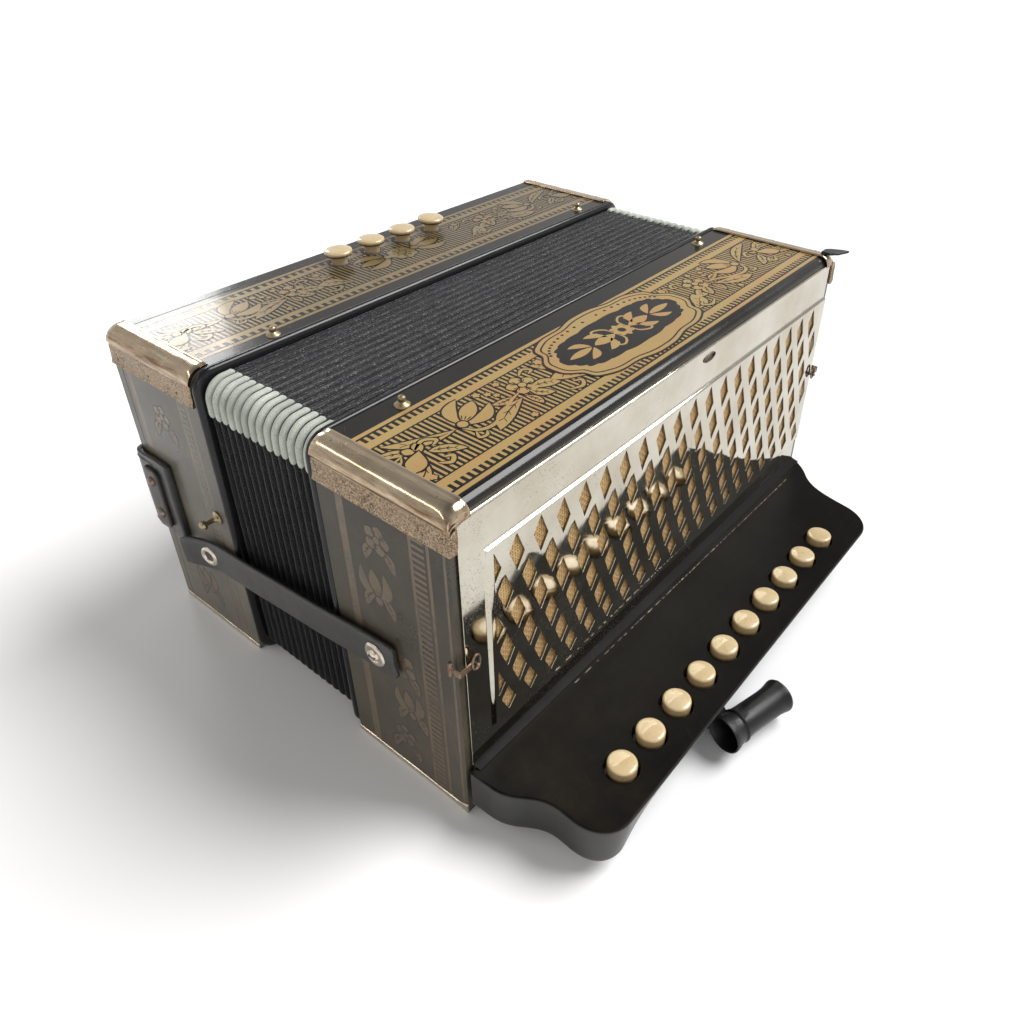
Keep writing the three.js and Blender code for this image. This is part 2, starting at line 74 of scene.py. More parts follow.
# ------------------------------------------------------------------ camera, floor and light
SENSOR_WIDTH, LENS = 36.0, 29.75
LENS_SHIFT = (-0.0338, -0.0405)
CAMERA_RIGHT = Vector((0.77662, 0.62994, 0.00542))
CAMERA_FORWARD = Vector((-0.51299, 0.63739, -0.57496)).normalized()
# In metres; x from the bass end plate's outer face.
CAMERA_PLACE = (0.3477, -0.2757, 0.3065)


def make_camera():
    data = bpy.data.cameras.new("camera")
    data.sensor_width = SENSOR_WIDTH
    data.lens = LENS
    data.shift_x, data.shift_y = LENS_SHIFT
    data.clip_start = 0.01
    camera = bpy.data.objects.new("camera", data)
    scene.collection.objects.link(camera)
    up = CAMERA_RIGHT.cross(CAMERA_FORWARD).normalized()
    turn = Matrix((CAMERA_RIGHT, up, -CAMERA_FORWARD)).transposed().to_4x4()
    x, y, z = CAMERA_PLACE
    position = Vector((BASS_X0 * MM + x, y, z))
    camera.matrix_world = Matrix.Translation(position) @ turn
    scene.camera = camera
    return camera


def area_light(name, position, target, size, power, colour=(1, 1, 1)):
    data = bpy.data.lights.new(name, "AREA")
    data.shape = "RECTANGLE"
    data.size, data.size_y = size
    data.energy = power
    data.color = colour
    light = bpy.data.objects.new(name, data)
    light.location = position
    aim = Vector(target) - Vector(position)
    light.rotation_euler = aim.to_track_quat("-Z", "Y").to_euler()
    scene.collection.objects.link(light)
    return light


def make_floor():
    bm = bmesh.new()
    bmesh.ops.create_grid(bm, x_segments=1, y_segments=1, size=4.0)
    mesh = bpy.data.meshes.new("floor")
    bm.to_mesh(mesh)
    bm.free()
    floor = bpy.data.objects.new("floor", mesh)
    floor.location.z = -0.0002
    scene.collection.objects.link(floor)
    material = bpy.data.materials.new("floor_paper")
    material.use_nodes = True
    shader = material.node_tree.nodes["Principled BSDF"]
    shader.inputs["Base Color"].default_value = (0.87, 0.87, 0.87, 1)
    shader.inputs["Roughness"].default_value = 0.9
    shader.inputs["Specular IOR Level"].default_value = 0.1
    mesh.materials.append(material)


def make_lights():
    """A pale room, brightest at the horizon, with one broad soft key and two small helpers."""
    world = bpy.data.worlds.new("studio")
    world.use_nodes = True
    tree = world.node_tree
    direction = tree.nodes.new("ShaderNodeTexCoord").outputs["Generated"]
    split = tree.nodes.new("ShaderNodeSeparateXYZ")
    tree.links.new(direction, split.inputs[0])
    ramp = tree.nodes.new("ShaderNodeMapRange")
    for label, value in (("From Min", 0.0), ("From Max", 1.0), ("To Min", 0.86), ("To Max", 0.14)):
        ramp.inputs[label].default_value = value
    tree.links.new(split.outputs["Z"], ramp.inputs["Value"])
    tree.links.new(ramp.outputs["Result"], tree.nodes["Background"].inputs["Strength"])
    tree.nodes["Background"].inputs["Color"].default_value = (1.0, 0.995, 0.985, 1)
    scene.world = world
    scene.view_settings.view_transform = "Standard"
    key = bpy.data.lights.new("key", "SUN")
    key.energy = 3.7
    key.angle = math.radians(36)
    lamp = bpy.data.objects.new("key", key)
    lamp.rotation_euler = Vector((-0.62, -0.9, -1.25)).to_track_quat("-Z", "Y").to_euler()
    scene.collection.objects.link(lamp)
    area_light("glare", (-1.20, 0.33, 0.62), (-0.12, -0.1, 0.15), (0.3, 0.3), 2.3)
    area_light("front", (1.3, -1.1, 0.7), (0, 0, 0.08), (0.7, 0.7), 2.0)
    area_light("strip", (-0.52, -0.88, 0.92), (0.0, -0.14, 0.15), (1.3, 0.07), 1.7, (1.0, 0.93, 0.83))


make_camera()
make_floor()
make_lights()


# ------------------------------------------------------------------ building meshes
def link_piece(name, bm, materials, body, replaces=(), crease=35, blend=None, facing=None):
    """Turns a millimetre bmesh into a named piece that rides on a body; given blend, it is only baked in
    place and rides on neither.
    Its coordinates are the drawing's: x from the bass end plate's face, y from the near end."""
    bmesh.ops.recalc_face_normals(bm, faces=bm.faces)
    if facing and sum(f.normal.dot(Vector(facing)) * f.calc_area() for f in bm.faces) < 0:
        bmesh.ops.reverse_faces(bm, faces=bm.faces)
    mesh = bpy.data.meshes.new(name)
    bm.to_mesh(mesh)
    bm.free()
    mesh.transform(Matrix.Scale(MM, 4) @ Matrix.Translation((BASS_X0, CASE_Y0, 0)))
    mesh.shade_smooth()
    mesh.set_sharp_from_angle(angle=math.radians(crease))
    for material in materials:
        mesh.materials.append(material)
    piece = bpy.data.objects.new(name, mesh)
    scene.collection.objects.link(piece)
    if blend:
        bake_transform(piece)
    else:
        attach(piece, body)
    if replaces:
        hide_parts(*replaces)
    return piece


def round_edges(piece, width, segments=2):
    edge = piece.modifiers.new("round_edges", "BEVEL")
    edge.width = width * MM
    edge.segments = segments
    edge.limit_method = "ANGLE"
    edge.angle_limit = math.radians(32)
    edge.harden_normals = True


def loft(bm, rings, closed_path=False, caps=True):
    """Joins rings of points, each a closed loop of the same count, into one skin."""
    made = [[bm.verts.new(p) for p in ring] for ring in rings]
    count = len(made[0])
    spans = len(made) if closed_path else len(made) - 1
    for i in range(spans):
        a, b = made[i], made[(i + 1) % len(made)]
        for j in range(count):
            k = (j + 1) % count
            bm.faces.new((a[j], a[k], b[k], b[j]))
    if caps and not closed_path:
        for ring in (made[0], made[-1]):
            bm.faces.new(ring)
    return made


def prism(bm, outline, place, low, high, material=0):
    """A flat outline of (a, b) points, from one level to another; place maps (a, b, level)."""
    bottom = [bm.verts.new(place(a, b, low)) for a, b in outline]
    top = [bm.verts.new(place(a, b, high)) for a, b in outline]
    count = len(outline)
    faces = [bm.faces.new(bottom), bm.faces.new(top)]
    for j in range(count):
        k = (j + 1) % count
        faces.append(bm.faces.new((bottom[j], bottom[k], top[k], top[j])))
    for face in faces:
        face.material_index = material


def join_rows(bm, rows, segments):
    """Faces between the rows of a turned skin; a row on the axis holds one point."""
    for low, high in zip(rows, rows[1:]):
        for j in range(segments):
            k = (j + 1) % segments
            corners = [low[j % len(low)], low[k % len(low)], high[k % len(high)], high[j % len(high)]]
            unique = list(dict.fromkeys(corners))
            if len(unique) > 2:
                bm.faces.new(unique)


def turned(bm, profile, origin, axis="Z", segments=40):
    """A profile of (radius, height) points turned about an axis through origin."""
    turn = {
        "Z": lambda r, a, h: (r * math.cos(a), r * math.sin(a), h),
        "X": lambda r, a, h: (h, r * math.cos(a), r * math.sin(a)),
        "-X": lambda r, a, h: (-h, r * math.sin(a), r * math.cos(a)),
        "Y": lambda r, a, h: (r * math.sin(a), h, r * math.cos(a)),
        "-Y": lambda r, a, h: (r * math.cos(a), -h, r * math.sin(a)),
    }[axis]
    rows = []
    for radius, height in profile:
        if radius < 1e-6:
            spots = [turn(0, 0, height)]
        else:
            angles = [2 * math.pi * i / segments for i in range(segments)]
            spots = [turn(radius, a, height) for a in angles]
        rows.append([bm.verts.new([o + s for o, s in zip(origin, spot)]) for spot in spots])
    join_rows(bm, rows, segments)


def arc(centre_a, centre_b, radius, start, end, steps):
    """Points on an arc, angles in degrees."""
    points = []
    for i in range(steps + 1):
        angle = math.radians(start + (end - start) * i / steps)
        points.append((centre_a + radius * math.cos(angle), centre_b + radius * math.sin(angle)))
    return points


def rounded_rectangle(a0, a1, b0, b1, radius, steps=8):
    r = radius
    return (
        arc(a1 - r, b0 + r, r, -90, 0, steps)
        + arc(a1 - r, b1 - r, r, 0, 90, steps)
        + arc(a0 + r, b1 - r, r, 90, 180, steps)
        + arc(a0 + r, b0 + r, r, 180, 270, steps)
    )


def smooth_path(points, steps=8):
    """A Catmull-Rom curve through given points."""
    ends = [points[0]] + list(points) + [points[-1]]
    path = []
    for i in range(1, len(ends) - 2):
        p0, p1, p2, p3 = (Vector(p) for p in ends[i - 1 : i + 3])
        for s in range(steps):
            t = s / steps
            path.append(
                0.5
                * (
                    2 * p1
                    + (p2 - p0) * t
                    + (2 * p0 - 5 * p1 + 4 * p2 - p3) * t * t
                    + (3 * p1 - p0 - 3 * p2 + p3) * t ** 3
                )
            )
    path.append(Vector(ends[-2]))
    return path


# ------------------------------------------------------------------ shader node groups
def add_node(tree, kind, inputs=None, **settings):
    node = tree.nodes.new(kind)
    for key, value in settings.items():
        setattr(node, key, value)
    for key, value in (inputs or {}).items():
        if isinstance(value, bpy.types.NodeSocket):
            tree.links.new(value, node.inputs[key])
        else:
            node.inputs[key].default_value = value
    return node


def math_node(tree, operation, a, b=0.0, clamp=False):
    return add_node(tree, "ShaderNodeMath", {0: a, 1: b}, operation=operation,
                    use_clamp=clamp).outputs[0]


def span(tree, value, low, high, to_low=0.0, to_high=1.0):
    inputs = {"Value": value, "From Min": low, "From Max": high, "To Min": to_low, "To Max": to_high}
    return add_node(tree, "ShaderNodeMapRange", inputs, clamp=True).outputs["Result"]


def blend_colours(tree, factor, a, b):
    node = add_node(tree, "ShaderNodeMix", data_type="RGBA")
    for index, value in ((0, factor), (6, a), (7, b)):
        if isinstance(value, bpy.types.NodeSocket):
            tree.links.new(value, node.inputs[index])
        elif index and len(value) == 3:
            node.inputs[index].default_value = (*value, 1)
        else:
            node.inputs[index].default_value = value
    return node.outputs[2]


def noise(tree, place, scale, detail=4.0, roughness=0.55, distortion=0.0):
    inputs = {"Vector": place, "Scale": scale, "Detail": detail, "Roughness": roughness,
              "Distortion": distortion}
    return add_node(tree, "ShaderNodeTexNoise", inputs).outputs["Fac"]


def stretched(tree, place, scale):
    return add_node(tree, "ShaderNodeVectorMath", {0: place, 1: scale}, operation="MULTIPLY").outputs[0]


def facing_up(tree):
    """1 on what faces up, 0 on what stands upright, -1 underneath."""
    normal = add_node(tree, "ShaderNodeNewGeometry").outputs["Normal"]
    return add_node(tree, "ShaderNodeSeparateXYZ", {0: normal}).outputs["Z"]


def new_group(name, inputs, outputs):
    group = bpy.data.node_groups.new(name, "ShaderNodeTree")
    for label, kind, default in inputs:
        socket = group.interface.new_socket(label, in_out="INPUT", socket_type=kind)
        if default is not None:
            socket.default_value = default
    for label, kind in outputs:
        group.interface.new_socket(label, in_out="OUTPUT", socket_type=kind)
    start = group.nodes.new("NodeGroupInput").outputs
    end = group.nodes.new("NodeGroupOutput").inputs
    return group, start, end


FLOAT, VECTOR = "NodeSocketFloat", "NodeSocketVector"


def group_edge_wear():
    """Mask of edges rubbed through: strongest on convex edges, broken up by noise."""
    group, start, end = new_group(
        "Edge wear", [("Place", VECTOR, None), ("Width", FLOAT, 0.0008), ("Breakup", FLOAT, 260.0),
                      ("Amount", FLOAT, 0.5)], [("Mask", FLOAT)])
    bevel = add_node(group, "ShaderNodeBevel", {"Radius": start["Width"]}, samples=4)
    true_normal = add_node(group, "ShaderNodeNewGeometry").outputs["Normal"]
    dot = add_node(group, "ShaderNodeVectorMath", {0: bevel.outputs[0], 1: true_normal},
                   operation="DOT_PRODUCT").outputs["Value"]
    edge = span(group, dot, 0.995, 0.8)
    patches = span(group, noise(group, start["Place"], start["Breakup"], 6, 0.7), 0.42, 0.62)
    worn = math_node(group, "MULTIPLY", edge, patches)
    group.links.new(math_node(group, "MULTIPLY", worn, start["Amount"], True), end["Mask"])
    return group


def group_pits():
    """Scattered dark spots of several sizes, gathered in clouds."""
    group, start, end = new_group(
        "Pits", [("Place", VECTOR, None), ("Scale", FLOAT, 1400.0), ("Clouds", FLOAT, 40.0),
                 ("Amount", FLOAT, 0.5)], [("Mask", FLOAT)])
    cells = add_node(group, "ShaderNodeTexVoronoi", {"Vector": start["Place"], "Scale": start["Scale"]})
    size = span(group, cells.outputs["Color"], 0.0, 1.0, 0.02, 0.34)
    spot = math_node(group, "LESS_THAN", cells.outputs["Distance"], size)
    cloud = noise(group, start["Place"], start["Clouds"], 5, 0.65)
    level = span(group, start["Amount"], 0.0, 1.0, 0.72, 0.3)
    gathered = math_node(group, "SUBTRACT", cloud, level)
    strength = span(group, gathered, 0.0, 0.12)
    group.links.new(math_node(group, "MULTIPLY", spot, strength, True), end["Mask"])
    return group


def group_scratches():
    """Fine scratches in two directions."""
    group, start, end = new_group(
        "Scratches", [("Place", VECTOR, None), ("Scale", FLOAT, 60.0), ("Amount", FLOAT, 0.5)],
        [("Mask", FLOAT)])
    masks = []
    for turn, long in ((0.5, (1.0, 34.0, 12.0)), (-0.9, (28.0, 1.2, 10.0))):
        turned_place = add_node(group, "ShaderNodeVectorRotate",
                                {"Vector": start["Place"], "Angle": turn},
                                rotation_type="Z_AXIS").outputs[0]
        lines = noise(group, stretched(group, turned_place, long), start["Scale"], 2, 0.5, 0.4)
        masks.append(span(group, lines, 0.695, 0.73))
    both = math_node(group, "MAXIMUM", *masks)
    group.links.new(math_node(group, "MULTIPLY", both, start["Amount"], True), end["Mask"])
    return group


def group_dust():
    """Dust and haze: soft clouds with fine specks, mostly on what faces up."""
    group, start, end = new_group(
        "Dust", [("Place", VECTOR, None), ("Scale", FLOAT, 18.0), ("Amount", FLOAT, 0.5)],
        [("Mask", FLOAT)])
    cloud = span(group, noise(group, start["Place"], start["Scale"], 6, 0.62), 0.4, 0.75)
    specks = span(group, noise(group, start["Place"], 900.0, 2, 0.5), 0.66, 0.74)
    upward = span(group, facing_up(group), -0.2, 1.0, 0.35, 1.0)
    both = math_node(group, "ADD", math_node(group, "MULTIPLY", cloud, 0.6), specks, True)
    laid = math_node(group, "MULTIPLY", both, upward)
    group.links.new(math_node(group, "MULTIPLY", laid, start["Amount"], True), end["Mask"])
    return group


def group_upright_haze_and_floor_reflection():
    """Mottled haze on upright faces, heavier low down, where it also paints the bright floor's
    reflection.
    """
    group, start, end = new_group(
        "Upright haze and painted floor reflection", [("Place", VECTOR, None), ("Amount", FLOAT, 0.5)], [("Mask", FLOAT)])
    flat = span(group, math_node(group, "ABSOLUTE", facing_up(group)), 0.6, 0.2)
    clouds = span(group, noise(group, start["Place"], 34.0, 7, 0.66), 0.34, 0.66, 0.45, 1.0)
    fine = span(group, noise(group, start["Place"], 700.0, 4, 0.7), 0.3, 0.7, 0.6, 1.0)
    height = add_node(group, "ShaderNodeSeparateXYZ", {0: start["Place"]}).outputs["Z"]
    # Heavier low down: real haze, and a painted reflection of the bright floor.
    low = span(group, height, 0.13, 0.02, 0.5, 1.0)
    both = math_node(group, "MULTIPLY", math_node(group, "MULTIPLY", clouds, fine), low)
    laid = math_node(group, "MULTIPLY", flat, both)
    group.links.new(math_node(group, "MULTIPLY", laid, start["Amount"], True), end["Mask"])
    return group


def group_hide():
    """Leather grain: irregular cells with creases between them."""
    group, start, end = new_group(
        "Hide grain", [("Place", VECTOR, None), ("Scale", FLOAT, 900.0)],
        [("Height", FLOAT), ("Creases", FLOAT)])
    warp = add_node(group, "ShaderNodeTexNoise", {"Vector": start["Place"], "Scale": 300.0})
    shift = add_node(group, "ShaderNodeVectorMath", {0: warp.outputs["Color"], "Scale": 0.0012},
                     operation="SCALE").outputs[0]
    place = add_node(group, "ShaderNodeVectorMath", {0: start["Place"], 1: shift},
                     operation="ADD").outputs[0]
    cells = add_node(group, "ShaderNodeTexVoronoi", {"Vector": place, "Scale": start["Scale"]},
                     feature="DISTANCE_TO_EDGE").outputs["Distance"]
    raised = span(group, cells, 0.0, 0.22)
    fine = noise(group, start["Place"], 2600.0, 3)
    height = math_node(group, "ADD", raised, math_node(group, "MULTIPLY", fine, 0.35))
    group.links.new(height, end["Height"])
    group.links.new(span(group, cells, 0.09, 0.0), end["Creases"])
    return group


def group_weave():
    """Plain weave in the plane of the second and third axes."""
    group, start, end = new_group(
        "Weave", [("Place", VECTOR, None), ("Pitch", FLOAT, 0.0009)],
        [("Height", FLOAT), ("Gaps", FLOAT), ("Over", FLOAT)])
    parts = add_node(group, "ShaderNodeSeparateXYZ", {0: start["Place"]}).outputs
    waves = []
    for axis in ("Y", "Z"):
        steps = math_node(group, "DIVIDE", parts[axis], start["Pitch"])
        waves.append(math_node(group, "SINE", math_node(group, "MULTIPLY", steps, math.pi)))
    product = math_node(group, "MULTIPLY", *waves)
    squares = [math_node(group, "MULTIPLY", w, w) for w in waves]
    body = math_node(group, "MAXIMUM", *squares)
    over = span(group, product, -0.4, 0.4)
    height = math_node(group, "ADD", math_node(group, "MULTIPLY", body, 0.6),
                       math_node(group, "MULTIPLY", over, 0.5))
    group.links.new(height, end["Height"])
    group.links.new(span(group, body, 0.45, 0.12), end["Gaps"])
    group.links.new(over, end["Over"])
    return group


GROUPS = {
    "wear": group_edge_wear(),
    "pits": group_pits(), "scratches": group_scratches(),
    "dust": group_dust(), "upright": group_upright_haze_and_floor_reflection(),
    "hide": group_hide(), "weave": group_weave(),
}


# ------------------------------------------------------------------ materials
class Finish:
    """A material under construction: a Principled shader, object coordinates and shortcuts."""

    def __init__(self, name, **plain):
        self.material = bpy.data.materials.new(name)
        self.material.use_nodes = True
        self.tree = self.material.node_tree
        self.shader = self.tree.nodes["Principled BSDF"]
        self.place = add_node(self.tree, "ShaderNodeTexCoord").outputs["Object"]
        for socket, value in plain.items():
            self.shader.inputs[socket.replace("_", " ")].default_value = value

    def effect(self, group, **inputs):
        node = self.tree.nodes.new("ShaderNodeGroup")
        node.node_tree = GROUPS[group]
        self.tree.links.new(self.place, node.inputs["Place"])
        for label, value in inputs.items():
            node.inputs[label].default_value = value
        return node.outputs

    def noise(self, scale, detail=4.0, roughness=0.55):
        return noise(self.tree, self.place, scale, detail, roughness)

    def span(self, value, low, high, to_low=0.0, to_high=1.0):
        return span(self.tree, value, low, high, to_low, to_high)

    def mix(self, factor, a, b):
        return blend_colours(self.tree, factor, a, b)

    def math(self, operation, a, b=0.0, clamp=False):
        return math_node(self.tree, operation, a, b, clamp)

    def set(self, socket, value):
        self.tree.links.new(value, self.shader.inputs[socket])

    def bump(self, height, distance, strength=1.0, after=None):
        inputs = {"Height": height, "Distance": distance * MM, "Strength": strength}
        if after is not None:
            inputs["Normal"] = after
        normal = add_node(self.tree, "ShaderNodeBump", inputs).outputs["Normal"]
        self.tree.links.new(normal, self.shader.inputs["Normal"])
        return normal


def lacquer(name, base, undercoat, dust, rough, wear=0.45, side_haze_and_reflection=0.0,
            haze_and_reflection_tint=(0.12, 0.098, 0.064)):
    """Old black varnish: dust on what faces up, and on what stands upright a brown haze together with a
    painted reflection of the floor.
    """
    f = Finish(name, Coat_Weight=0.12, Coat_Roughness=0.06, Specular_IOR_Level=0.27)
    scratches = f.effect("scratches", Amount=0.5)["Mask"]
    haze = f.effect("dust", Amount=dust, Scale=14.0)["Mask"]
    worn = f.effect("wear", Width=0.0006, Amount=wear)["Mask"]
    upright = f.effect("upright", Amount=side_haze_and_reflection)["Mask"]
    smudge = f.noise(32.0, 5)
    colour = f.mix(f.span(f.noise(9.0, 4), 0.35, 0.7), base, [c * 1.9 for c in base])
    colour = f.mix(haze, colour, (0.11, 0.1, 0.082))
    # Upright faces: real haze and a painted reflection of the bright floor, strongest low down.
    colour = f.mix(upright, colour, haze_and_reflection_tint)
    colour = f.mix(f.math("MULTIPLY", scratches, 0.25), colour, (0.2, 0.18, 0.15))
    f.set("Base Color", f.mix(worn, colour, undercoat))
    gloss = f.span(smudge, 0.3, 0.7, rough, rough + 0.12)
    gloss = f.math("ADD", gloss, f.math("MULTIPLY", haze, 0.3))
    gloss = f.math("ADD", gloss, f.math("MULTIPLY", upright, 0.45))
    f.set("Roughness", f.math("ADD", gloss, f.math("MULTIPLY", worn, 0.3), True))
    ripple = f.bump(f.noise(120.0, 2), 0.05, 0.35)
    f.bump(scratches, 0.02, 0.5, after=ripple)
    return f.material


def gold_print(name, gold, copper, ground, worn_from, rough, metal):
    """Bronze ink under varnish, rubbed thin in patches down to the black ground."""
    f = Finish(name, Coat_Weight=0.45, Coat_Roughness=0.1, Metallic=metal)
    tint = f.span(f.noise(55.0, 3, 0.6), 0.42, 0.66)
    colour = f.mix(tint, gold, copper)
    fine = f.noise(1900.0, 3, 0.7)
    colour = f.mix(f.span(fine, 0.35, 0.75, 0.0, 0.35), colour, [c * 0.45 for c in gold])
    patches = f.span(f.noise(70.0, 8, 0.72), worn_from, worn_from + 0.16)
    broken = f.math("MULTIPLY", patches, f.span(f.noise(800.0, 4, 0.7), 0.38, 0.6))
    f.set("Base Color", f.mix(broken, colour, ground))
    f.set("Roughness", f.span(f.noise(45.0, 4), 0.3, 0.7, rough, rough + 0.14))
    f.bump(fine, 0.03, 0.4)
    return f.material


def nickel(name, bright, stain, pit, rough, pitting, clouds=30.0, tarnish=0.5, spot=3200.0, dark_reflection_band=0.0,
           dents=0.1):
    """Worn plating, with an optional streaked dark brown band on the part of a moulding that turns from
    the top to the end: a painted reflection.
    """
    f = Finish(name, Metallic=1.0)
    pits = f.effect("pits", Amount=pitting, Scale=spot, Clouds=clouds)["Mask"]
    crumbs = f.effect("pits", Amount=pitting * 0.6, Scale=spot * 0.42, Clouds=clouds * 1.7)["Mask"]
    spots = f.math("MAXIMUM", pits, crumbs)
    worn = f.effect("wear", Width=0.0005, Amount=0.7, Breakup=420.0)["Mask"]
    cloud = f.span(f.noise(26.0, 7, 0.62), 0.38, 0.72, 0.0, tarnish)
    colour = f.mix(cloud, bright, stain)
    if dark_reflection_band:
        # Painted reflection: a dark brown band, broken by streaks, where the moulding turns from its top
        # to the end. The lines along it are real stain.
        height = add_node(f.tree, "ShaderNodeSeparateXYZ", {0: f.place}).outputs["Z"]
        wander = f.math("ADD", height, f.math("MULTIPLY", f.noise(60.0, 5), 0.006))
        band = f.math("MULTIPLY", f.span(wander, 0.1435, 0.1455), f.span(wander, 0.153, 0.1505))
        drawn = stretched(f.tree, f.place, (0.1, 1.0, 1.0))
        streaks = f.span(noise(f.tree, drawn, 420.0, 6, 0.7), 0.3, 0.62)
        lines = f.span(noise(f.tree, drawn, 900.0, 4, 0.6), 0.52, 0.66, 0.0, 0.55)
        colour = f.mix(lines, colour, stain)
        colour = f.mix(f.math("MULTIPLY", f.math("MULTIPLY", band, streaks), dark_reflection_band), colour, pit)
    colour = f.mix(f.math("MULTIPLY", worn, 0.5), colour, [c * 0.6 for c in stain])
    f.set("Base Color", f.mix(spots, colour, pit))
    gloss = f.span(f.noise(60.0, 6, 0.65), 0.3, 0.75, rough, rough * 2.0 + 0.05)
    f.set("Roughness", f.math("ADD", gloss, f.math("MULTIPLY", spots, 0.35), True))
    f.set("Metallic", f.span(spots, 0.0, 1.0, 1.0, 0.45))
    waves = f.bump(f.noise(38.0, 3), dents, 0.4)
    f.bump(spots, -0.05, 0.8, after=waves)
    return f.material


def stippled_nickel():
    """The mouldings' lower flange: plating roughened all over by fine corrosion."""
    f = Finish("stippled_nickel", Metallic=0.85)
    fine = f.noise(1900.0, 3, 0.6)
    coarse = f.noise(600.0, 5, 0.7)
    patches = f.span(f.noise(90.0, 6, 0.66), 0.36, 0.66)
    colour = f.mix(f.span(fine, 0.42, 0.58), (0.05, 0.028, 0.015), (0.47, 0.35, 0.23))
    colour = f.mix(f.span(coarse, 0.52, 0.66, 0.0, 0.75), colour, (0.13, 0.08, 0.045))
    f.set("Base Color", f.mix(f.math("MULTIPLY", patches, 0.45), colour, (0.35, 0.265, 0.18)))
    f.set("Roughness", f.span(fine, 0.3, 0.7, 0.28, 0.5))
    f.bump(fine, 0.14, 1.0)
    return f.material


def celluloid():
    f = Finish("cream_celluloid", Coat_Weight=0.6, Coat_Roughness=0.05, Subsurface_Weight=0.12,
               Subsurface_Scale=0.004)
    cloud = f.noise(120.0, 5)
    colour = f.mix(f.span(cloud, 0.35, 0.68), (0.57, 0.45, 0.265), (0.52, 0.39, 0.2))
    stained = f.effect("pits", Amount=0.25, Scale=900.0, Clouds=120.0)["Mask"]
    grime = f.effect("wear", Width=0.0006, Amount=0.28, Breakup=500.0)["Mask"]
    # Painted shade: faces turned away from the top are darkened towards tan.
    colour = f.mix(f.span(facing_up(f.tree), 0.8, 0.3, 0.0, 0.65), colour, (0.4, 0.28, 0.13))
    colour = f.mix(f.math("MULTIPLY", stained, 0.5), colour, (0.45, 0.3, 0.14))
    f.set("Base Color", f.mix(grime, colour, (0.5, 0.36, 0.17)))
    f.set("Roughness", f.span(f.noise(300.0, 4), 0.3, 0.7, 0.24, 0.34))
    f.bump(f.noise(220.0, 3), 0.02, 0.3)
    return f.material


def board_black():
    """Dull black keyboard wood with the grain just showing, brown handling near one end, and a painted
    floor reflection on what faces down.
    """
    f = Finish("keyboard_black")
    grain = noise(f.tree, stretched(f.tree, f.place, (1.0, 0.06, 1.0)), 700.0, 6, 0.6)
    dust = f.effect("dust", Amount=0.35, Scale=30.0)["Mask"]
    scuffs = f.effect("scratches", Amount=0.5, Scale=30.0)["Mask"]
    worn = f.effect("wear", Width=0.001, Amount=0.5, Breakup=180.0)["Mask"]
    along = add_node(f.tree, "ShaderNodeSeparateXYZ", {0: f.place}).outputs["Y"]
    near_end = f.span(along, -0.04, -0.14, 0.12, 1.0)
    rubbed = f.math("MULTIPLY", f.span(f.noise(26.0, 7, 0.68), 0.46, 0.68), near_end)
    colour = f.mix(f.span(grain, 0.3, 0.75), (0.0026, 0.0024, 0.0021), (0.0052, 0.0046, 0.004))
    colour = f.mix(f.math("MULTIPLY", rubbed, 0.5), colour, (0.022, 0.018, 0.011))
    colour = f.mix(f.math("MULTIPLY", dust, 0.16), colour, (0.07, 0.064, 0.05))
    colour = f.mix(f.math("MULTIPLY", scuffs, 0.08), colour, (0.14, 0.125, 0.1))
    up = facing_up(f.tree)
    # Painted reflection of the white floor: faces turned downward are lightened to grey.
    colour = f.mix(f.span(up, 0.05, -0.4), colour, (0.095, 0.095, 0.095))
    f.set("Base Color", f.mix(f.math("MULTIPLY", worn, 0.35), colour, (0.07, 0.058, 0.045)))
    gloss = f.span(f.noise(22.0, 5), 0.3, 0.7, 0.3, 0.44)
    f.set("Roughness", f.math("ADD", gloss, f.math("MULTIPLY", dust, 0.25), True))
    f.set("Specular IOR Level", f.span(up, 0.3, 0.9, 0.45, 0.05))
    waves = f.bump(grain, 0.05, 0.3)
    f.bump(scuffs, 0.02, 0.3, after=waves)
    return f.material


def hide(name, base, crease, rough, sheen=0.0, scale=850.0, depth=0.14, polish=0.35, shine=0.5):
    f = Finish(name, Sheen_Weight=sheen, Coat_Weight=polish, Coat_Roughness=0.32,
               Specular_IOR_Level=shine)
    grain = f.effect("hide", Scale=scale)
    worn = f.effect("wear", Width=0.0009, Amount=0.6, Breakup=300.0)["Mask"]
    colour = f.mix(f.span(f.noise(60.0, 5), 0.35, 0.7), base, [c * 1.7 for c in base])
    colour = f.mix(f.math("MULTIPLY", grain["Creases"], 0.6), colour, crease)
    f.set("Base Color", f.mix(worn, colour, [min(1, c * 4 + 0.03) for c in base]))
    f.set("Roughness", f.span(f.noise(90.0, 4), 0.3, 0.7, rough, rough + 0.15))
    f.bump(grain["Height"], depth, 0.7)
    return f.material


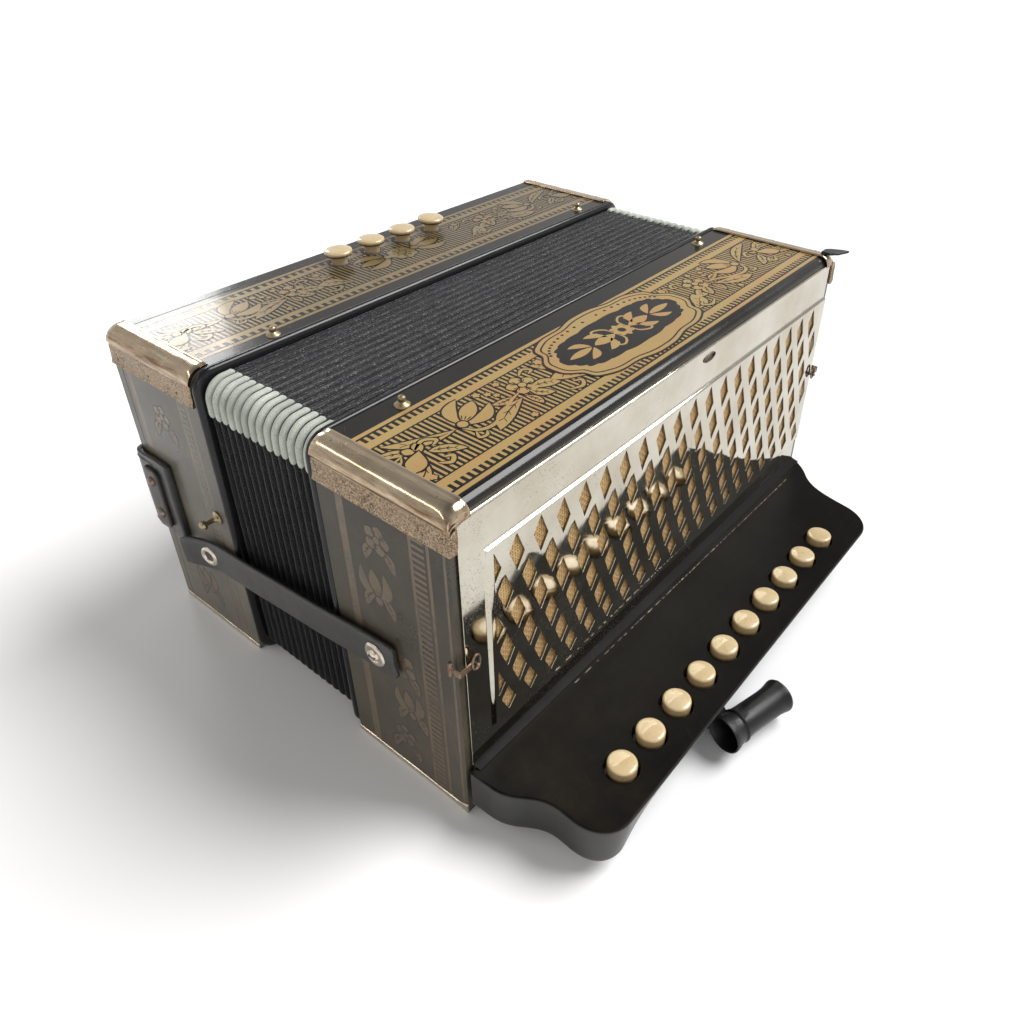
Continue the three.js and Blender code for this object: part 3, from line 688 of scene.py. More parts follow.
def bellows_cloth():
    """Black grained paper cloth with pale speckles, and rubbed wear along its crests that also stands in
    as a painted crest highlight.
    """
    f = Finish("bellows_cloth", Specular_IOR_Level=0.4)
    grain = f.effect("hide", Scale=950.0)
    specks = f.effect("pits", Amount=0.95, Scale=1900.0, Clouds=110.0)["Mask"]
    rubbed = f.effect("wear", Width=0.0009, Amount=0.8, Breakup=1300.0)["Mask"]
    colour = f.mix(f.span(f.noise(30.0, 5), 0.35, 0.7), (0.007, 0.007, 0.0085), (0.013, 0.013, 0.016))
    colour = f.mix(f.math("MULTIPLY", specks, 0.5), colour, (0.11, 0.11, 0.115))
    level = f.math("ABSOLUTE", facing_up(f.tree))
    glints = f.math("MULTIPLY", f.span(f.noise(1250.0, 2, 0.5), 0.57, 0.68), f.span(level, 0.5, 0.9))
    colour = f.mix(f.math("MULTIPLY", glints, 0.9), colour, (0.24, 0.24, 0.245))
    # Rubbed crests: real wear, and also a painted highlight along each crest.
    f.set("Base Color", f.mix(f.math("MULTIPLY", rubbed, 0.55), colour, (0.2, 0.2, 0.205)))
    f.set("Roughness", f.span(f.noise(50.0, 4), 0.3, 0.7, 0.38, 0.56))
    f.bump(grain["Height"], 0.28, 1.0)
    return f.material


def grille_weave():
    f = Finish("gold_grille_weave", Sheen_Weight=0.15)
    weave = f.effect("weave", Pitch=0.0013)
    thread = f.mix(weave["Over"], (0.56, 0.33, 0.1), (0.34, 0.19, 0.06))
    thread = f.mix(f.span(f.noise(25.0, 5), 0.4, 0.7), thread, (0.58, 0.37, 0.13))
    f.set("Base Color", f.mix(weave["Gaps"], thread, (0.03, 0.015, 0.006)))
    f.set("Roughness", f.span(f.noise(500.0, 3), 0.3, 0.7, 0.4, 0.6))
    f.set("Metallic", f.span(weave["Over"], 0.0, 1.0, 0.15, 0.4))
    f.bump(weave["Height"], 0.35, 1.0)
    return f.material


def bare_metal(name, base, dark, rough, brushed):
    f = Finish(name, Metallic=1.0)
    lines = noise(f.tree, stretched(f.tree, f.place, brushed), 400.0, 4, 0.6)
    rust = f.span(f.noise(160.0, 7, 0.7), 0.55, 0.7)
    colour = f.mix(f.span(lines, 0.3, 0.7), base, dark)
    f.set("Base Color", f.mix(rust, colour, (0.16, 0.08, 0.035)))
    f.set("Roughness", f.span(lines, 0.3, 0.7, rough, rough + 0.2))
    f.bump(lines, 0.03, 0.4)
    return f.material


def plain_wood():
    f = Finish("unpainted_spruce")
    place = stretched(f.tree, f.place, (6.0, 0.5, 6.0))
    rings = noise(f.tree, place, 60.0, 6, 0.6, 1.2)
    pores = noise(f.tree, stretched(f.tree, f.place, (1.0, 0.03, 1.0)), 1500.0, 4)
    colour = f.mix(f.span(rings, 0.35, 0.68), (0.5, 0.33, 0.16), (0.33, 0.19, 0.08))
    f.set("Base Color", f.mix(f.span(pores, 0.55, 0.75, 0.0, 0.4), colour, (0.16, 0.09, 0.04)))
    f.set("Roughness", f.span(rings, 0.3, 0.7, 0.55, 0.75))
    f.bump(pores, 0.06, 0.6)
    return f.material


# ------------------------------------------------------------------ the finishes of this object
# Both boxes' upright faces carry haze and a painted reflection of the floor, heavier low down; the bass
# box's tint is paler.
LACQUER = lacquer("black_lacquer", (0.0065, 0.006, 0.0055), (0.11, 0.07, 0.04), 0.16, 0.12, 0.45, 0.95)
BASS_LACQUER = lacquer("black_lacquer_haze_and_painted_reflection", (0.0075, 0.007, 0.0065), (0.11, 0.07, 0.04), 0.22,
                       0.12, 0.45, 1.0, (0.24, 0.215, 0.17))
FRAME_GLOSS = lacquer("bellows_frame_gloss", (0.006, 0.006, 0.007), (0.14, 0.13, 0.12), 0.12, 0.14, 0.8)
GOLD = gold_print("gold_print", (0.47, 0.325, 0.11), (0.5, 0.285, 0.1), (0.014, 0.011, 0.009), 0.66,
                  0.34, 0.35)
FADED = gold_print("faded_gold_print", (0.12, 0.085, 0.044), (0.14, 0.088, 0.044), (0.045, 0.037, 0.027),
                   0.46, 0.36, 0.15)
INK = lacquer("print_ink", (0.006, 0.005, 0.005), (0.05, 0.04, 0.03), 0.12, 0.18, 0.0)
NICKEL = nickel("old_nickel", (0.66, 0.59, 0.49), (0.43, 0.33, 0.22), (0.16, 0.1, 0.055), 0.16, 0.5)
# The moulding finish's 0.95 sets the strength of the painted dark reflection band.
MOULD_NICKEL = nickel("moulding_nickel", (0.68, 0.56, 0.41), (0.45, 0.31, 0.18),
                      (0.17, 0.095, 0.046), 0.08, 0.42, 30.0, 0.7, 2600.0, 0.95, 0.035)
GRILLE_NICKEL = nickel("grille_nickel", (0.6, 0.57, 0.49), (0.43, 0.38, 0.29), (0.11, 0.08, 0.05),
                       0.025, 0.5, 16.0, 0.85, 1500.0, 0.0, 0.012)
CLIP_STEEL = bare_metal("rusty_clip", (0.3, 0.25, 0.2), (0.14, 0.1, 0.07), 0.35, (1.0, 0.2, 1.0))
PLATE_BLACK = lacquer("blackened_plate", (0.012, 0.01, 0.009), (0.16, 0.085, 0.04), 0.3, 0.3, 1.0)
CREAM = celluloid()
BOARD = board_black()
STRAP_HIDE = hide("black_strap_leather", (0.014, 0.0135, 0.013), (0.004, 0.004, 0.004), 0.36)
LOOP_HIDE = hide("thumb_loop_leather", (0.004, 0.004, 0.0042), (0.002, 0.002, 0.002), 0.3, 0.0,
                 1200.0, 0.05, 0.1, 0.28)
GUSSET = hide("sage_gusset_leather", (0.35, 0.37, 0.325), (0.22, 0.24, 0.21), 0.6, 0.2, 1100.0,
              0.08, 0.0)
BELLOWS = bellows_cloth()
WEAVE = grille_weave()
STEEL = bare_metal("lever_steel", (0.52, 0.52, 0.5), (0.3, 0.3, 0.29), 0.3, (0.1, 1.0, 1.0))
ZINC = bare_metal("reed_plate_zinc", (0.45, 0.46, 0.47), (0.3, 0.31, 0.32), 0.4, (1.0, 0.1, 1.0))
SPRUCE = plain_wood()
# Finishes of the small and worn parts.
WORN_GOLD = gold_print("worn_gold_print", (0.25, 0.185, 0.078), (0.3, 0.19, 0.08),
                       (0.018, 0.015, 0.012), 0.56, 0.3, 0.4)
DIM_INK = lacquer("dim_ink", (0.03, 0.026, 0.021), (0.05, 0.04, 0.03), 0.2, 0.34, 0.45)
PITTED = stippled_nickel()
PIN_METAL = nickel("dull_pin_nickel", (0.42, 0.35, 0.23), (0.24, 0.17, 0.09), (0.08, 0.05, 0.025),
                   0.25, 0.5, 120.0, 0.8, 5000.0)
RUSTY_WIRE = bare_metal("rusty_wire", (0.3, 0.23, 0.17), (0.15, 0.09, 0.055), 0.4, (1.0, 1.0, 1.0))
# Dark metal for nail heads, also used as painted shade filling holes and slots.
DARK_NAIL_AND_HOLE_SHADE = bare_metal("dark_nail_heads_and_hole_shade", (0.24, 0.21, 0.17), (0.1, 0.08, 0.06), 0.4, (1.0, 1.0, 1.0))
FELT = hide("button_felt", (0.02, 0.017, 0.015), (0.006, 0.005, 0.005), 0.8, 0.3, 2200.0, 0.05, 0.0)
THREAD = hide("waxed_thread", (0.05, 0.042, 0.033), (0.02, 0.016, 0.012), 0.5, 0.2, 3000.0, 0.03, 0.1)
RUBBED = bare_metal("rubbed_shelf_edge", (0.27, 0.25, 0.21), (0.15, 0.13, 0.1), 0.5, (1.0, 1.0, 1.0))


# ------------------------------------------------------------------ the CAD pieces that stay
def finish_node(name, material, slot, bevel=0.0):
    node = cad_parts[name]
    node.data.materials.clear()
    node.data.materials.append(material)
    for face in node.data.polygons:
        face.use_smooth = True
        face.material_index = 0
    join = node.modifiers.new("weld", "WELD")
    join.merge_threshold = 0.00001
    if bevel:
        round_edges(node, bevel, 3)
    node.modifiers.new("shading", "WEIGHTED_NORMAL")


def finish_frame():
    kept = {
        "treble_case": (LACQUER, "black_lacquer", 0.5),
        "bass_case": (BASS_LACQUER, "black_lacquer", 0.5),
        "bass_end_plate": (BASS_LACQUER, "black_lacquer", 0.9),
        "keyboard_cover": (BOARD, "keyboard_black", 0.5),
        "treble_action_board": (SPRUCE, "pale_wood", 0.4),
        "treble_reed_block": (SPRUCE, "pale_wood", 0.4),
        "treble_reed_plate": (ZINC, "reed_zinc", 0.0),
        "bass_action_board": (SPRUCE, "pale_wood", 0.4),
        "bass_reed_block": (SPRUCE, "pale_wood", 0.4),
        "bass_reed_plate": (ZINC, "reed_zinc", 0.0),
        "key_axle": (STEEL, "lever_steel", 0.0),
    }
    for index in range(1, 11):
        kept[f"treble_lever_{index}"] = (STEEL, "lever_steel", 0.2)
    for index in range(1, 5):
        kept[f"bass_pallet_{index}"] = (STRAP_HIDE, "black_leather", 0.3)
    for name, (material, slot, bevel) in kept.items():
        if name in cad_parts:
            finish_node(name, material, slot, bevel)


# ------------------------------------------------------------------ printed ornament
class Print:
    """Thin printed shapes laid on a face. to_face maps (across, along, height) to the drawing."""

    INK, GOLD_INDEX = 0, 1

    def __init__(self, to_face, low=-1e9, high=1e9, thin=1.0):
        self.bm = bmesh.new()
        self.to_face = to_face
        self.low, self.high, self.thin = low, high, thin

    def shape(self, outline, height, material):
        kept = [(p[0], min(self.high, max(self.low, p[1]))) for p in outline]
        if max(b for _, b in kept) - min(b for _, b in kept) > 0.05:
            prism(self.bm, kept, self.to_face, -0.12, height * self.thin, material)

    def gold(self, outline, height=0.05):
        self.shape(outline, height, self.GOLD_INDEX)

    def ink(self, outline, height=0.07):
        self.shape(outline, height, self.INK)

    def bar(self, a0, a1, b0, b1, height=0.05):
        self.gold([(a0, b0), (a1, b0), (a1, b1), (a0, b1)], height)

    def outlined(self, outline, height, edge=0.75):
        """A gold shape inside a dark outline."""
        self.ink(grown(outline, edge), height)
        self.gold(outline, height + 0.03)

    def stroke(self, points, width, height, edge=0.6):
        """A gold stem with a dark edge along a smooth path."""
        self.ink(ribbon(points, width + 2 * edge), height)
        self.gold(ribbon(points, width), height + 0.03)

    def piece(self, name, ink, gold, body, slot="black_lacquer"):
        return link_piece(name, self.bm, [ink, gold], body, crease=30)


def grown(outline, distance):
    """A closed outline moved outwards along its averaged normals."""
    points = [Vector(p[:2]) for p in outline]
    area = sum(p.cross(q) for p, q in zip(points, points[1:] + points[:1]))
    side = 1 if area > 0 else -1
    made = []
    for i, point in enumerate(points):
        along = (points[(i + 1) % len(points)] - points[i - 1]).normalized()
        made.append(point + Vector((along.y, -along.x)) * distance * side)
    return made


def leaf(start, end, width, bend=0.0, fat=0.45, steps=9):
    """A pointed leaf or petal from start to end; bend bows it sideways, fat places its widest part."""
    a, b = Vector(start), Vector(end)
    along = b - a
    side = Vector((-along.y, along.x)).normalized()
    spine, left, right = [], [], []
    for i in range(steps + 1):
        t = i / steps
        middle = a + along * t + side * bend * 4 * t * (1 - t)
        swell = math.sin(math.pi * t ** (math.log(0.5) / math.log(fat))) ** 0.8
        spine.append(middle)
        left.append(middle + side * swell * width / 2)
        right.append(middle - side * swell * width / 2)
    return left + right[-2:0:-1], spine


def ribbon(points, width, taper=True):
    """A stem of the given width along a smooth path."""
    path = smooth_path([(*p, 0) for p in points], 6)
    left, right = [], []
    last = len(path) - 1
    for i, point in enumerate(path):
        along = (path[min(i + 1, last)] - path[max(i - 1, 0)]).normalized()
        side = Vector((-along.y, along.x, 0))
        half = width / 2 * (min(1, 0.35 + 2.5 * min(i, last - i) / last) if taper else 1)
        left.append(point + side * half)
        right.append(point - side * half)
    return left + right[::-1]


def disc(a, b, radius, squash=1.0, steps=14, scallops=0, depth=0.0):
    outline = []
    count = steps if not scallops else scallops * 6
    for i in range(count):
        angle = 2 * math.pi * i / count
        r = radius * (1 + depth * math.cos(scallops * angle)) if scallops else radius
        outline.append((a + r * math.cos(angle), b + r * squash * math.sin(angle)))
    return outline


def draw_leaf(art, start, end, width, bend=0.0, fat=0.45, height=0.08, veins=3):
    outline, spine = leaf(start, end, width, bend, fat)
    art.outlined(outline, height)
    middle = [(p.x, p.y) for p in spine[1:-3]]
    art.ink(ribbon(middle, 0.5), height + 0.05)
    for i in range(veins):
        root = spine[2 + i * 2]
        aim = spine[4 + i * 2] - root
        side = Vector((-aim.y, aim.x)).normalized()
        for turn in (1, -1):
            tip = root + aim * 0.45 + side * turn * width * 0.24
            art.ink(ribbon([(root.x, root.y), (tip.x, tip.y)], 0.32), height + 0.05)


def tulip(art, base, top, size):
    """Three petals on a cup, opening towards top."""
    a, b = Vector(base), Vector(top)
    along = (b - a).normalized()
    side = Vector((-along.y, along.x))
    reach = (b - a).length
    for turn in (1, -1):
        tip = a + along * reach * 1.0 + side * turn * size * 0.5
        outline, _ = leaf(a + side * turn * 0.6, tip, size * 0.42, turn * size * 0.26, 0.5)
        art.outlined(outline, 0.07)
    outline, _ = leaf(a + along * 1.5, b, size * 0.5, 0, 0.5)
    art.outlined(outline, 0.11)
    art.outlined(disc(a.x, a.y, size * 0.16), 0.15)
    for turn in (-1, 0, 1):
        root = a + along * 3.1 + side * turn * 0.9
        tip = root + along * 2.6 + side * turn * 0.9
        art.ink(ribbon([(root.x, root.y), (tip.x, tip.y)], 0.4), 0.17)


def blossom(art, centre, radius, petals, start=0.0):
    """A round flower: petals about an eye, each with two strokes."""
    c = Vector(centre)
    for i in range(petals):
        angle = start + 2 * math.pi * i / petals
        out = Vector((math.cos(angle), math.sin(angle)))
        outline, _ = leaf(c + out * radius * 0.2, c + out * radius, radius * 0.72, 0, 0.58)
        art.outlined(outline, 0.08 + 0.012 * i, 0.6)
        for turn in (-0.16, 0.16):
            side = Vector((-out.y, out.x)) * radius * turn
            root, tip = c + out * radius * 0.38 + side, c + out * radius * 0.62 + side * 1.6
            art.ink(ribbon([(root.x, root.y), (tip.x, tip.y)], 0.34), 0.2)
    art.outlined(disc(c.x, c.y, radius * 0.24), 0.2, 0.5)


def garland(art, place):
    """The flower spray between a moulding and the cartouche. place maps the treble's (x, y)."""
    stroke = lambda points, width, height: art.stroke([place(*p) for p in points], width, height)
    spray = [
        ((168.5, 36.5), (156.8, 12.5), 5.0, 2.6, 0.5, 0.07),
        ((170.9, 21.5), (179.3, 31.5), 4.4, 0.8, 0.45, 0.08),
        ((167.0, 17.4), (160.6, 6.4), 4.2, -0.6, 0.45, 0.08),
        ((174.8, 16.5), (182.3, -0.5), 5.2, 2.4, 0.5, 0.08),
        ((171.5, 9.5), (176.5, -1.5), 4.4, -1.8, 0.5, 0.09),
        ((166.2, 13.5), (168.6, 3.0), 3.4, 1.4, 0.5, 0.1),
        ((169.0, 66.0), (167.2, 57.0), 3.6, 0.8, 0.5, 0.08),
        ((172.2, 68.0), (180.5, 46.5), 6.4, -1.6, 0.55, 0.08),
        ((169.5, 76.5), (175.2, 87.0), 6.0, 1.2, 0.5, 0.07),
        ((170.5, 74.0), (178.4, 79.5), 4.8, -0.8, 0.5, 0.1),
        ((172.0, 70.0), (180.5, 70.5), 3.4, 0.8, 0.5, 0.07),
        ((181.5, 99.5), (171.0, 86.0), 7.5, -2.6, 0.6, 0.06),
        ((166.2, 99.0), (158.0, 88.5), 5.0, 1.4, 0.5, 0.06),
    ]
    for start, end, width, bend, fat, height in spray:
        draw_leaf(art, place(*start), place(*end), width, bend, fat, height)
    stroke([(168.2, 38.5), (174.4, 41.5), (176.4, 47.0), (174.6, 55.0), (170.6, 63.0),
            (168.6, 70.0)], 1.7, 0.1)
    stroke([(174.8, 40.5), (178.2, 38.6), (179.0, 41.4), (177.2, 43.4)], 1.3, 0.09)
    stroke([(167.2, 18.5), (164.6, 24.5), (167.8, 28.0), (169.4, 25.0)], 1.5, 0.12)
    stroke([(178.4, 18.8), (181.2, 22.0), (178.8, 25.0), (177.2, 22.4)], 1.6, 0.11)
    stroke([(160.4, 79.5), (158.0, 84.0), (160.6, 86.5), (162.0, 83.4)], 1.4, 0.1)
    stroke([(181.5, 84.0), (183.6, 89.5), (180.6, 93.0), (178.8, 89.8)], 1.5, 0.1)
    for start, end, width in (((169.2, 20.0), (163.8, 21.4), 4.0), ((168.4, 17.6), (164.0, 15.6), 3.6)):
        outline, _ = leaf(place(*start), place(*end), width, 0, 0.55)
        art.outlined(outline, 0.12)
    outline, _ = leaf(place(168.4, 19.4), place(176.6, 9.6), 7.2, 0, 0.6)
    art.outlined(outline, 0.15)
    tulip(art, place(168.0, 40.8), place(159.6, 54.6), 12.5)
    blossom(art, place(165.9, 75.2), 6.6, 5, 0.5)


def florets(art, place):
    for x, y, radius in ((157.8, 58.4, 1.5), (160.6, 61.6, 1.3), (163.6, 63.4, 1.2), (158.8, 93.0, 1.9),
                         (183.0, 62.0, 1.4), (158.0, 69.0, 1.4), (182.8, 12.0, 1.3)):
        art.outlined(disc(*place(x, y), radius, 1.0, 0, 5, 0.2), 0.09, 0.5)


def ladder(art, base, tip, y0, y1, pitch):
    """Teeth that stand on a thick band, black between them."""
    reach = tip - base
    count = int((y1 - y0) / pitch)
    half = pitch * 0.23
    for i in range(count):
        y = y0 + pitch * (i + 0.5)
        foot = base - reach * 0.1
        art.gold([(foot, y - half), (tip, y - half), (tip, y + half), (foot, y + half)], 0.045)


def banded_field(art, edges, y0, y1, pitch, hatch):
    """Thin line, ladder and thick band down each side, and a hatched field between."""
    thin0, teeth0, band0, band1, band2, band3, teeth1, thin1 = edges
    art.bar(thin0, thin0 + 1.9, y0, y1)
    art.bar(band0, band1, y0, y1)
    art.bar(band2, band3, y0, y1)
    art.bar(thin1 - 1.9, thin1, y0, y1)
    ladder(art, band0, teeth0, y0, y1, pitch)
    ladder(art, band3, teeth1, y0, y1, pitch)
    for i in range(int((y1 - y0) / hatch)):
        y = y0 + hatch * (i + 0.5)
        art.bar(band1 + 0.7, band2 - 0.7, y - hatch * 0.23, y + hatch * 0.23)


def cartouche(art, x, y, half_x, half_y):
    """A lobed shield: dark edge, gold ring with beads, scalloped dark middle with a plain scroll."""
    def shield(sx, sy, lobe, scallop=0.0):
        outline = []
        for i in range(176):
            t = 2 * math.pi * i / 176
            cos, sin = math.cos(t), math.sin(t)
            wave = 1 + lobe * math.cos(8 * t) + lobe * 0.55 * math.cos(12 * t)
            wave += scallop * abs(math.sin(11 * t))
            outline.append((x + sx * wave * math.copysign(abs(cos) ** 0.62, cos),
                            y + sy * wave * math.copysign(abs(sin) ** 0.74, sin)))
        return outline
    art.ink(shield(half_x + 0.9, half_y + 1.0, 0.035), 0.21)
    art.gold(shield(half_x, half_y, 0.035), 0.235)
    art.ink(shield(half_x - 1.7, half_y - 1.7, 0.033), 0.25)
    art.gold(shield(half_x - 2.4, half_y - 2.4, 0.033), 0.265)
    art.ink(shield(half_x - 8.9, half_y - 6.2, 0.02, 0.035), 0.28)
    for i in range(52):
        t = 2 * math.pi * (i + 0.5) / 52
        cos, sin = math.cos(t), math.sin(t)
        if cos < -0.2:
            bead_x = x + (half_x - 4.9) * math.copysign(abs(cos) ** 0.62, cos)
            bead_y = y + (half_y - 4.6) * math.copysign(abs(sin) ** 0.74, sin)
            art.ink(disc(bead_x, bead_y, 0.75, 1, 8), 0.285)
    for turn in (1, -1):
        end = lambda across, along: (x + across, y + turn * along)
        sprays = (((0, 5), (0, 19), 5.6, 0), ((-0.8, 9), (-7.4, 17.5), 3.8, 1.6),
                  ((0.8, 9), (7.4, 17.5), 3.8, -1.6),
                  ((-0.6, 20.5), (-6.6, 29), 3.6, 1.4), ((0.6, 20.5), (6.6, 29), 3.6, -1.4),
                  ((0, 21), (0, 35.5), 4, 0))
        for start, tip, width, bend in sprays:
            outline, _ = leaf(end(*start), end(*tip), width, bend * turn, 0.5)
            art.gold(outline, 0.31)
        for side in (1, -1):
            curl = [end(side * 0.8, 4.5), end(side * 5.6, 5.0), end(side * 8.4, 9.0),
                    end(side * 7.4, 11.6), end(side * 5.4, 9.6)]
            art.gold(ribbon(curl, 1.1), 0.3)
    art.gold(disc(x, y, 4.8, 1, 0, 8, 0.14), 0.34)
    art.ink(disc(x, y, 1.9, 1, 12), 0.355)


def print_treble_top():
    art = Print(lambda x, y, level: (x, y, CASE_Z1 + level), 4, 276)
    banded_field(art, (145.3, 148.2, 151.3, 155.0, 185.6, 189.2, 192.3, 195.2), 3.5, 276.5, 2.85, 2.28)
    for place in (lambda x, y: (x, y), lambda x, y: (x, 275.4 - y)):
        garland(art, place)
        florets(art, place)
    cartouche(art, 167.8, 137.7, 22.0, 43.5)
    art.piece("treble_top_print", INK, GOLD, "treble")


def print_bass_top():
    art = Print(lambda x, y, level: (x, y, CASE_Z1 + level), 4, 276)
    banded_field(art, (8.4, 11.0, 14.0, 17.2, 46.4, 49.6, 52.6, 55.2), 3.5, 276.5, 4.2, 2.28)
    narrow = lambda x: 18.6 + (x - 155.5) * 0.88
    for place in (lambda x, y: (narrow(x), y), lambda x, y: (narrow(x), 280 - y)):
        garland(art, place)
        florets(art, place)
    tulip(art, (30, 131), (30, 114), 12.0)
    tulip(art, (30, 149), (30, 166), 12.0)
    blossom(art, (31, 140), 8.0, 8)
    art.piece("bass_top_print", INK, WORN_GOLD, "bass")


def print_end(name, x_bands, flowers, body, face_y, outward, low, high):
    """The faded panel on an end face: upright stripes, thin ladders and flowers nearly gone."""
    art = Print(lambda x, z, level: (x, face_y + outward * level, z), thin=0.22)
    for x0, x1, toothed in x_bands:
        if toothed:
            art.bar(x0, x0 + 1.4, low, high)
            art.bar(x1 - 1.4, x1, low, high)
            ladder(art, x0 + 1.2, x1 - 2.6, low, high, 2.85)
        else:
            art.bar(x0, x1, low, high)
    for index, (x, z, size) in enumerate(flowers):
        if index % 2:
            tulip(art, (x, z - size * 0.5), (x - 2, z + size * 0.7), size)
        else:
            blossom(art, (x, z), size * 0.6, 5, 0.4 * index)
        for turn in (1, -1):
            draw_leaf(art, (x + turn * 2, z - 3), (x + turn * 7.5, z - 12), 4.2, turn * 1.4, 0.5)
    art.piece(name, DIM_INK, FADED, body)


def print_ends():
    treble_bands = ((144.8, 148.8, False), (181.0, 190.8, True), (197.0, 198.2, False))
    treble_flowers = ((164.6, 122, 11), (161.5, 98, 12), (170, 64, 12), (172, 42, 11), (166, 20, 10))
    bass_bands = ((8.5, 12.0, False), (46.5, 54.5, True))
    bass_flowers = ((29, 118, 10), (28, 24, 11))
    for side, face_y, outward in (("near", 0, -1), ("far", CASE_LENGTH, 1)):
        print_end(f"treble_{side}_print", treble_bands, treble_flowers, "treble", face_y, outward,
                  3, 136)
        print_end(f"bass_{side}_print", bass_bands, bass_flowers, "bass", face_y, outward, 3, 136)


def print_bass_plate():
    """The bass end plate's panel, which faces away from the bellows."""
    art = Print(lambda a, b, level: (-level, b, a))
    z0, z1, y0, y1 = 12.0, 138.0, 12.0, 268.0
    for inset, width in ((0.0, 1.9), (6.0, 3.4)):
        art.bar(z0 + inset, z0 + inset + width, y0 + inset, y1 - inset)
        art.bar(z1 - inset - width, z1 - inset, y0 + inset, y1 - inset)
        art.bar(z0 + inset, z1 - inset, y0 + inset, y0 + inset + width)
        art.bar(z0 + inset, z1 - inset, y1 - inset - width, y1 - inset)
    ladder(art, z0 + 6.0, z0 + 2.9, y0 + 6, y1 - 6, 2.85)
    ladder(art, z1 - 6.0, z1 - 2.9, y0 + 6, y1 - 6, 2.85)
    for turn in (1, -1):
        at = lambda a, b: (75 + a, 140 + turn * b)
        for start, end, width, bend in (((0, 18), (0, 60), 12, 0), ((4, 24), (30, 50), 10, -4),
                                        ((-4, 24), (-30, 50), 10, 4), ((3, 60), (26, 88), 9, -4),
                                        ((-3, 60), (-26, 88), 9, 4)):
            draw_leaf(art, at(*start), at(*end), width, bend * turn, 0.5)
        tulip(art, at(0, 66), at(0, 92), 20)
    blossom(art, (75, 140), 15, 8)
    art.piece("bass_plate_print", INK, WORN_GOLD, "bass")


# ------------------------------------------------------------------ metal trim


def moulding_profile():
    """(y, z) of a moulding's section: rolled bead, rounded top, groove and flared lower flange."""
    outer = [(9.2, 150.25), (9.3, 150.7), (9.05, 151.05), (8.5, 151.2), (7.9, 151.1), (7.4, 150.98)]
    outer += arc(5.9, 143.9, 7.15, 86, 168, 14)
    outer += [(-0.85, 144.8), (-0.52, 144.25), (-0.5, 143.6), (-0.68, 142.9), (-0.78, 141.0),
              (-0.88, 138.6)]
    outer += [(-1.05, 137.0), (-1.35, 135.9), (-1.5, 135.3), (-1.3, 135.0), (-0.9, 135.0)]
    inner = [(-0.18, 135.2), (-0.18, 143.5)] + arc(6.9, 143.1, 7.08, 180, 90, 8) + [(8.9, 150.18)]
    return outer, inner


END_ROUND = 5.0


def end_drop(x, x1, z):
    """How far a moulding's skin drops where it follows the case's rounded front edge."""
    past = max(0.0, x - (x1 - END_ROUND))
    drop = END_ROUND - math.sqrt(max(0.0, END_ROUND ** 2 - past ** 2))
    return drop * max(0.0, min(1.0, (z - 137) / 13))


def add_moulding(name, x0, x1, body, far, capped=False):
    outer, inner = moulding_profile()
    flip = (lambda y: CASE_LENGTH - y) if far else (lambda y: y)
    bm = bmesh.new()
    loop = outer + inner
    straight = x1 - END_ROUND if capped else x1 - 0.35
    stations = [x0, x0 + 0.35] + [x0 + (straight - x0) * i / 24 for i in range(1, 25)]
    if capped:
        stations += [x1 - END_ROUND + END_ROUND * share for share in (0.25, 0.45, 0.62, 0.76, 0.87,
                                                                      0.95, 0.985)]
    stations.append(x1)
    rings = []
    for i, x in enumerate(stations):
        shrink = 0.25 if i in (0, len(stations) - 1) else 0.0
        dent = 0.05 * math.sin(x * 0.31) * math.sin(x * 0.83 + (2 if far else 0))
        ring = []
        for y, z in loop:
            lift = (dent - shrink) * (1 if (y, z) in outer else 0)
            pull = Vector((y - 8, z - 136))
            pull = pull.normalized() * lift if pull.length else pull
            drop = end_drop(x, x1, z) if capped else 0.0
            ring.append((x, flip(y + pull.x), z + pull.y - drop))
        rings.append(ring)
    loft(bm, rings)
    if capped:
        add_cap(bm, x1, flip)
    for face in bm.faces:
        if face.calc_center_median().z < 143.4:
            face.material_index = 1
    link_piece(name, bm, [MOULD_NICKEL, PITTED], body, (name,), crease=38)
    add_nails(name + "_nails", x0, x1, body, flip)


def add_cap(bm, x1, flip):
    """The moulding's end turned down over the case's front corner, with a rolled rim."""
    outline = [(2.6, 146.4), (0.9, 146.2), (-0.4, 145.2), (-0.62, 144.2), (-0.72, 142.0), (-0.85, 138.6)]
    outline += [(-1.2, 136.4), (-1.45, 135.3), (-0.7, 134.5), (0.6, 134.2), (2.0, 134.8), (2.75, 136.6)]
    outline += [(2.9, 140.0), (2.85, 144.8)]
    middle = Vector((1.0, 140.4))
    shrunk = lambda share: [(flip(middle.x + (y - middle.x) * share), middle.y + (z - middle.y) * share)
                            for y, z in outline]
    levels = ((1.0, -0.7), (1.03, -0.1), (1.0, 0.3), (0.93, 0.45), (0.86, 0.3), (0.8, 0.12), (0.4, 0.2))
    loft(bm, [[(x1 + rise, y, z) for y, z in shrunk(share)] for share, rise in levels])


def add_nails(name, x0, x1, body, flip):
    """Small flush nail heads along the moulding's crest and its flange."""
    bm = bmesh.new()
    head = [(0, 0.2), (0.25, 0.19), (0.42, 0.1), (0.48, -0.02), (0.48, -0.4), (0, -0.4)]
    span_x = x1 - x0
    for share in (0.1, 0.5, 0.86):
        turned(bm, head, (x0 + span_x * share, flip(4.6), 150.9), "Z", 14)
        side = -0.95 if flip(0) == 0 else CASE_LENGTH + 0.95
        turned(bm, head, (x0 + span_x * (share * 0.96), side, 138.2), "-Y" if flip(0) == 0 else "Y", 14)
    link_piece(name, bm, [DARK_NAIL_AND_HOLE_SHADE], body)


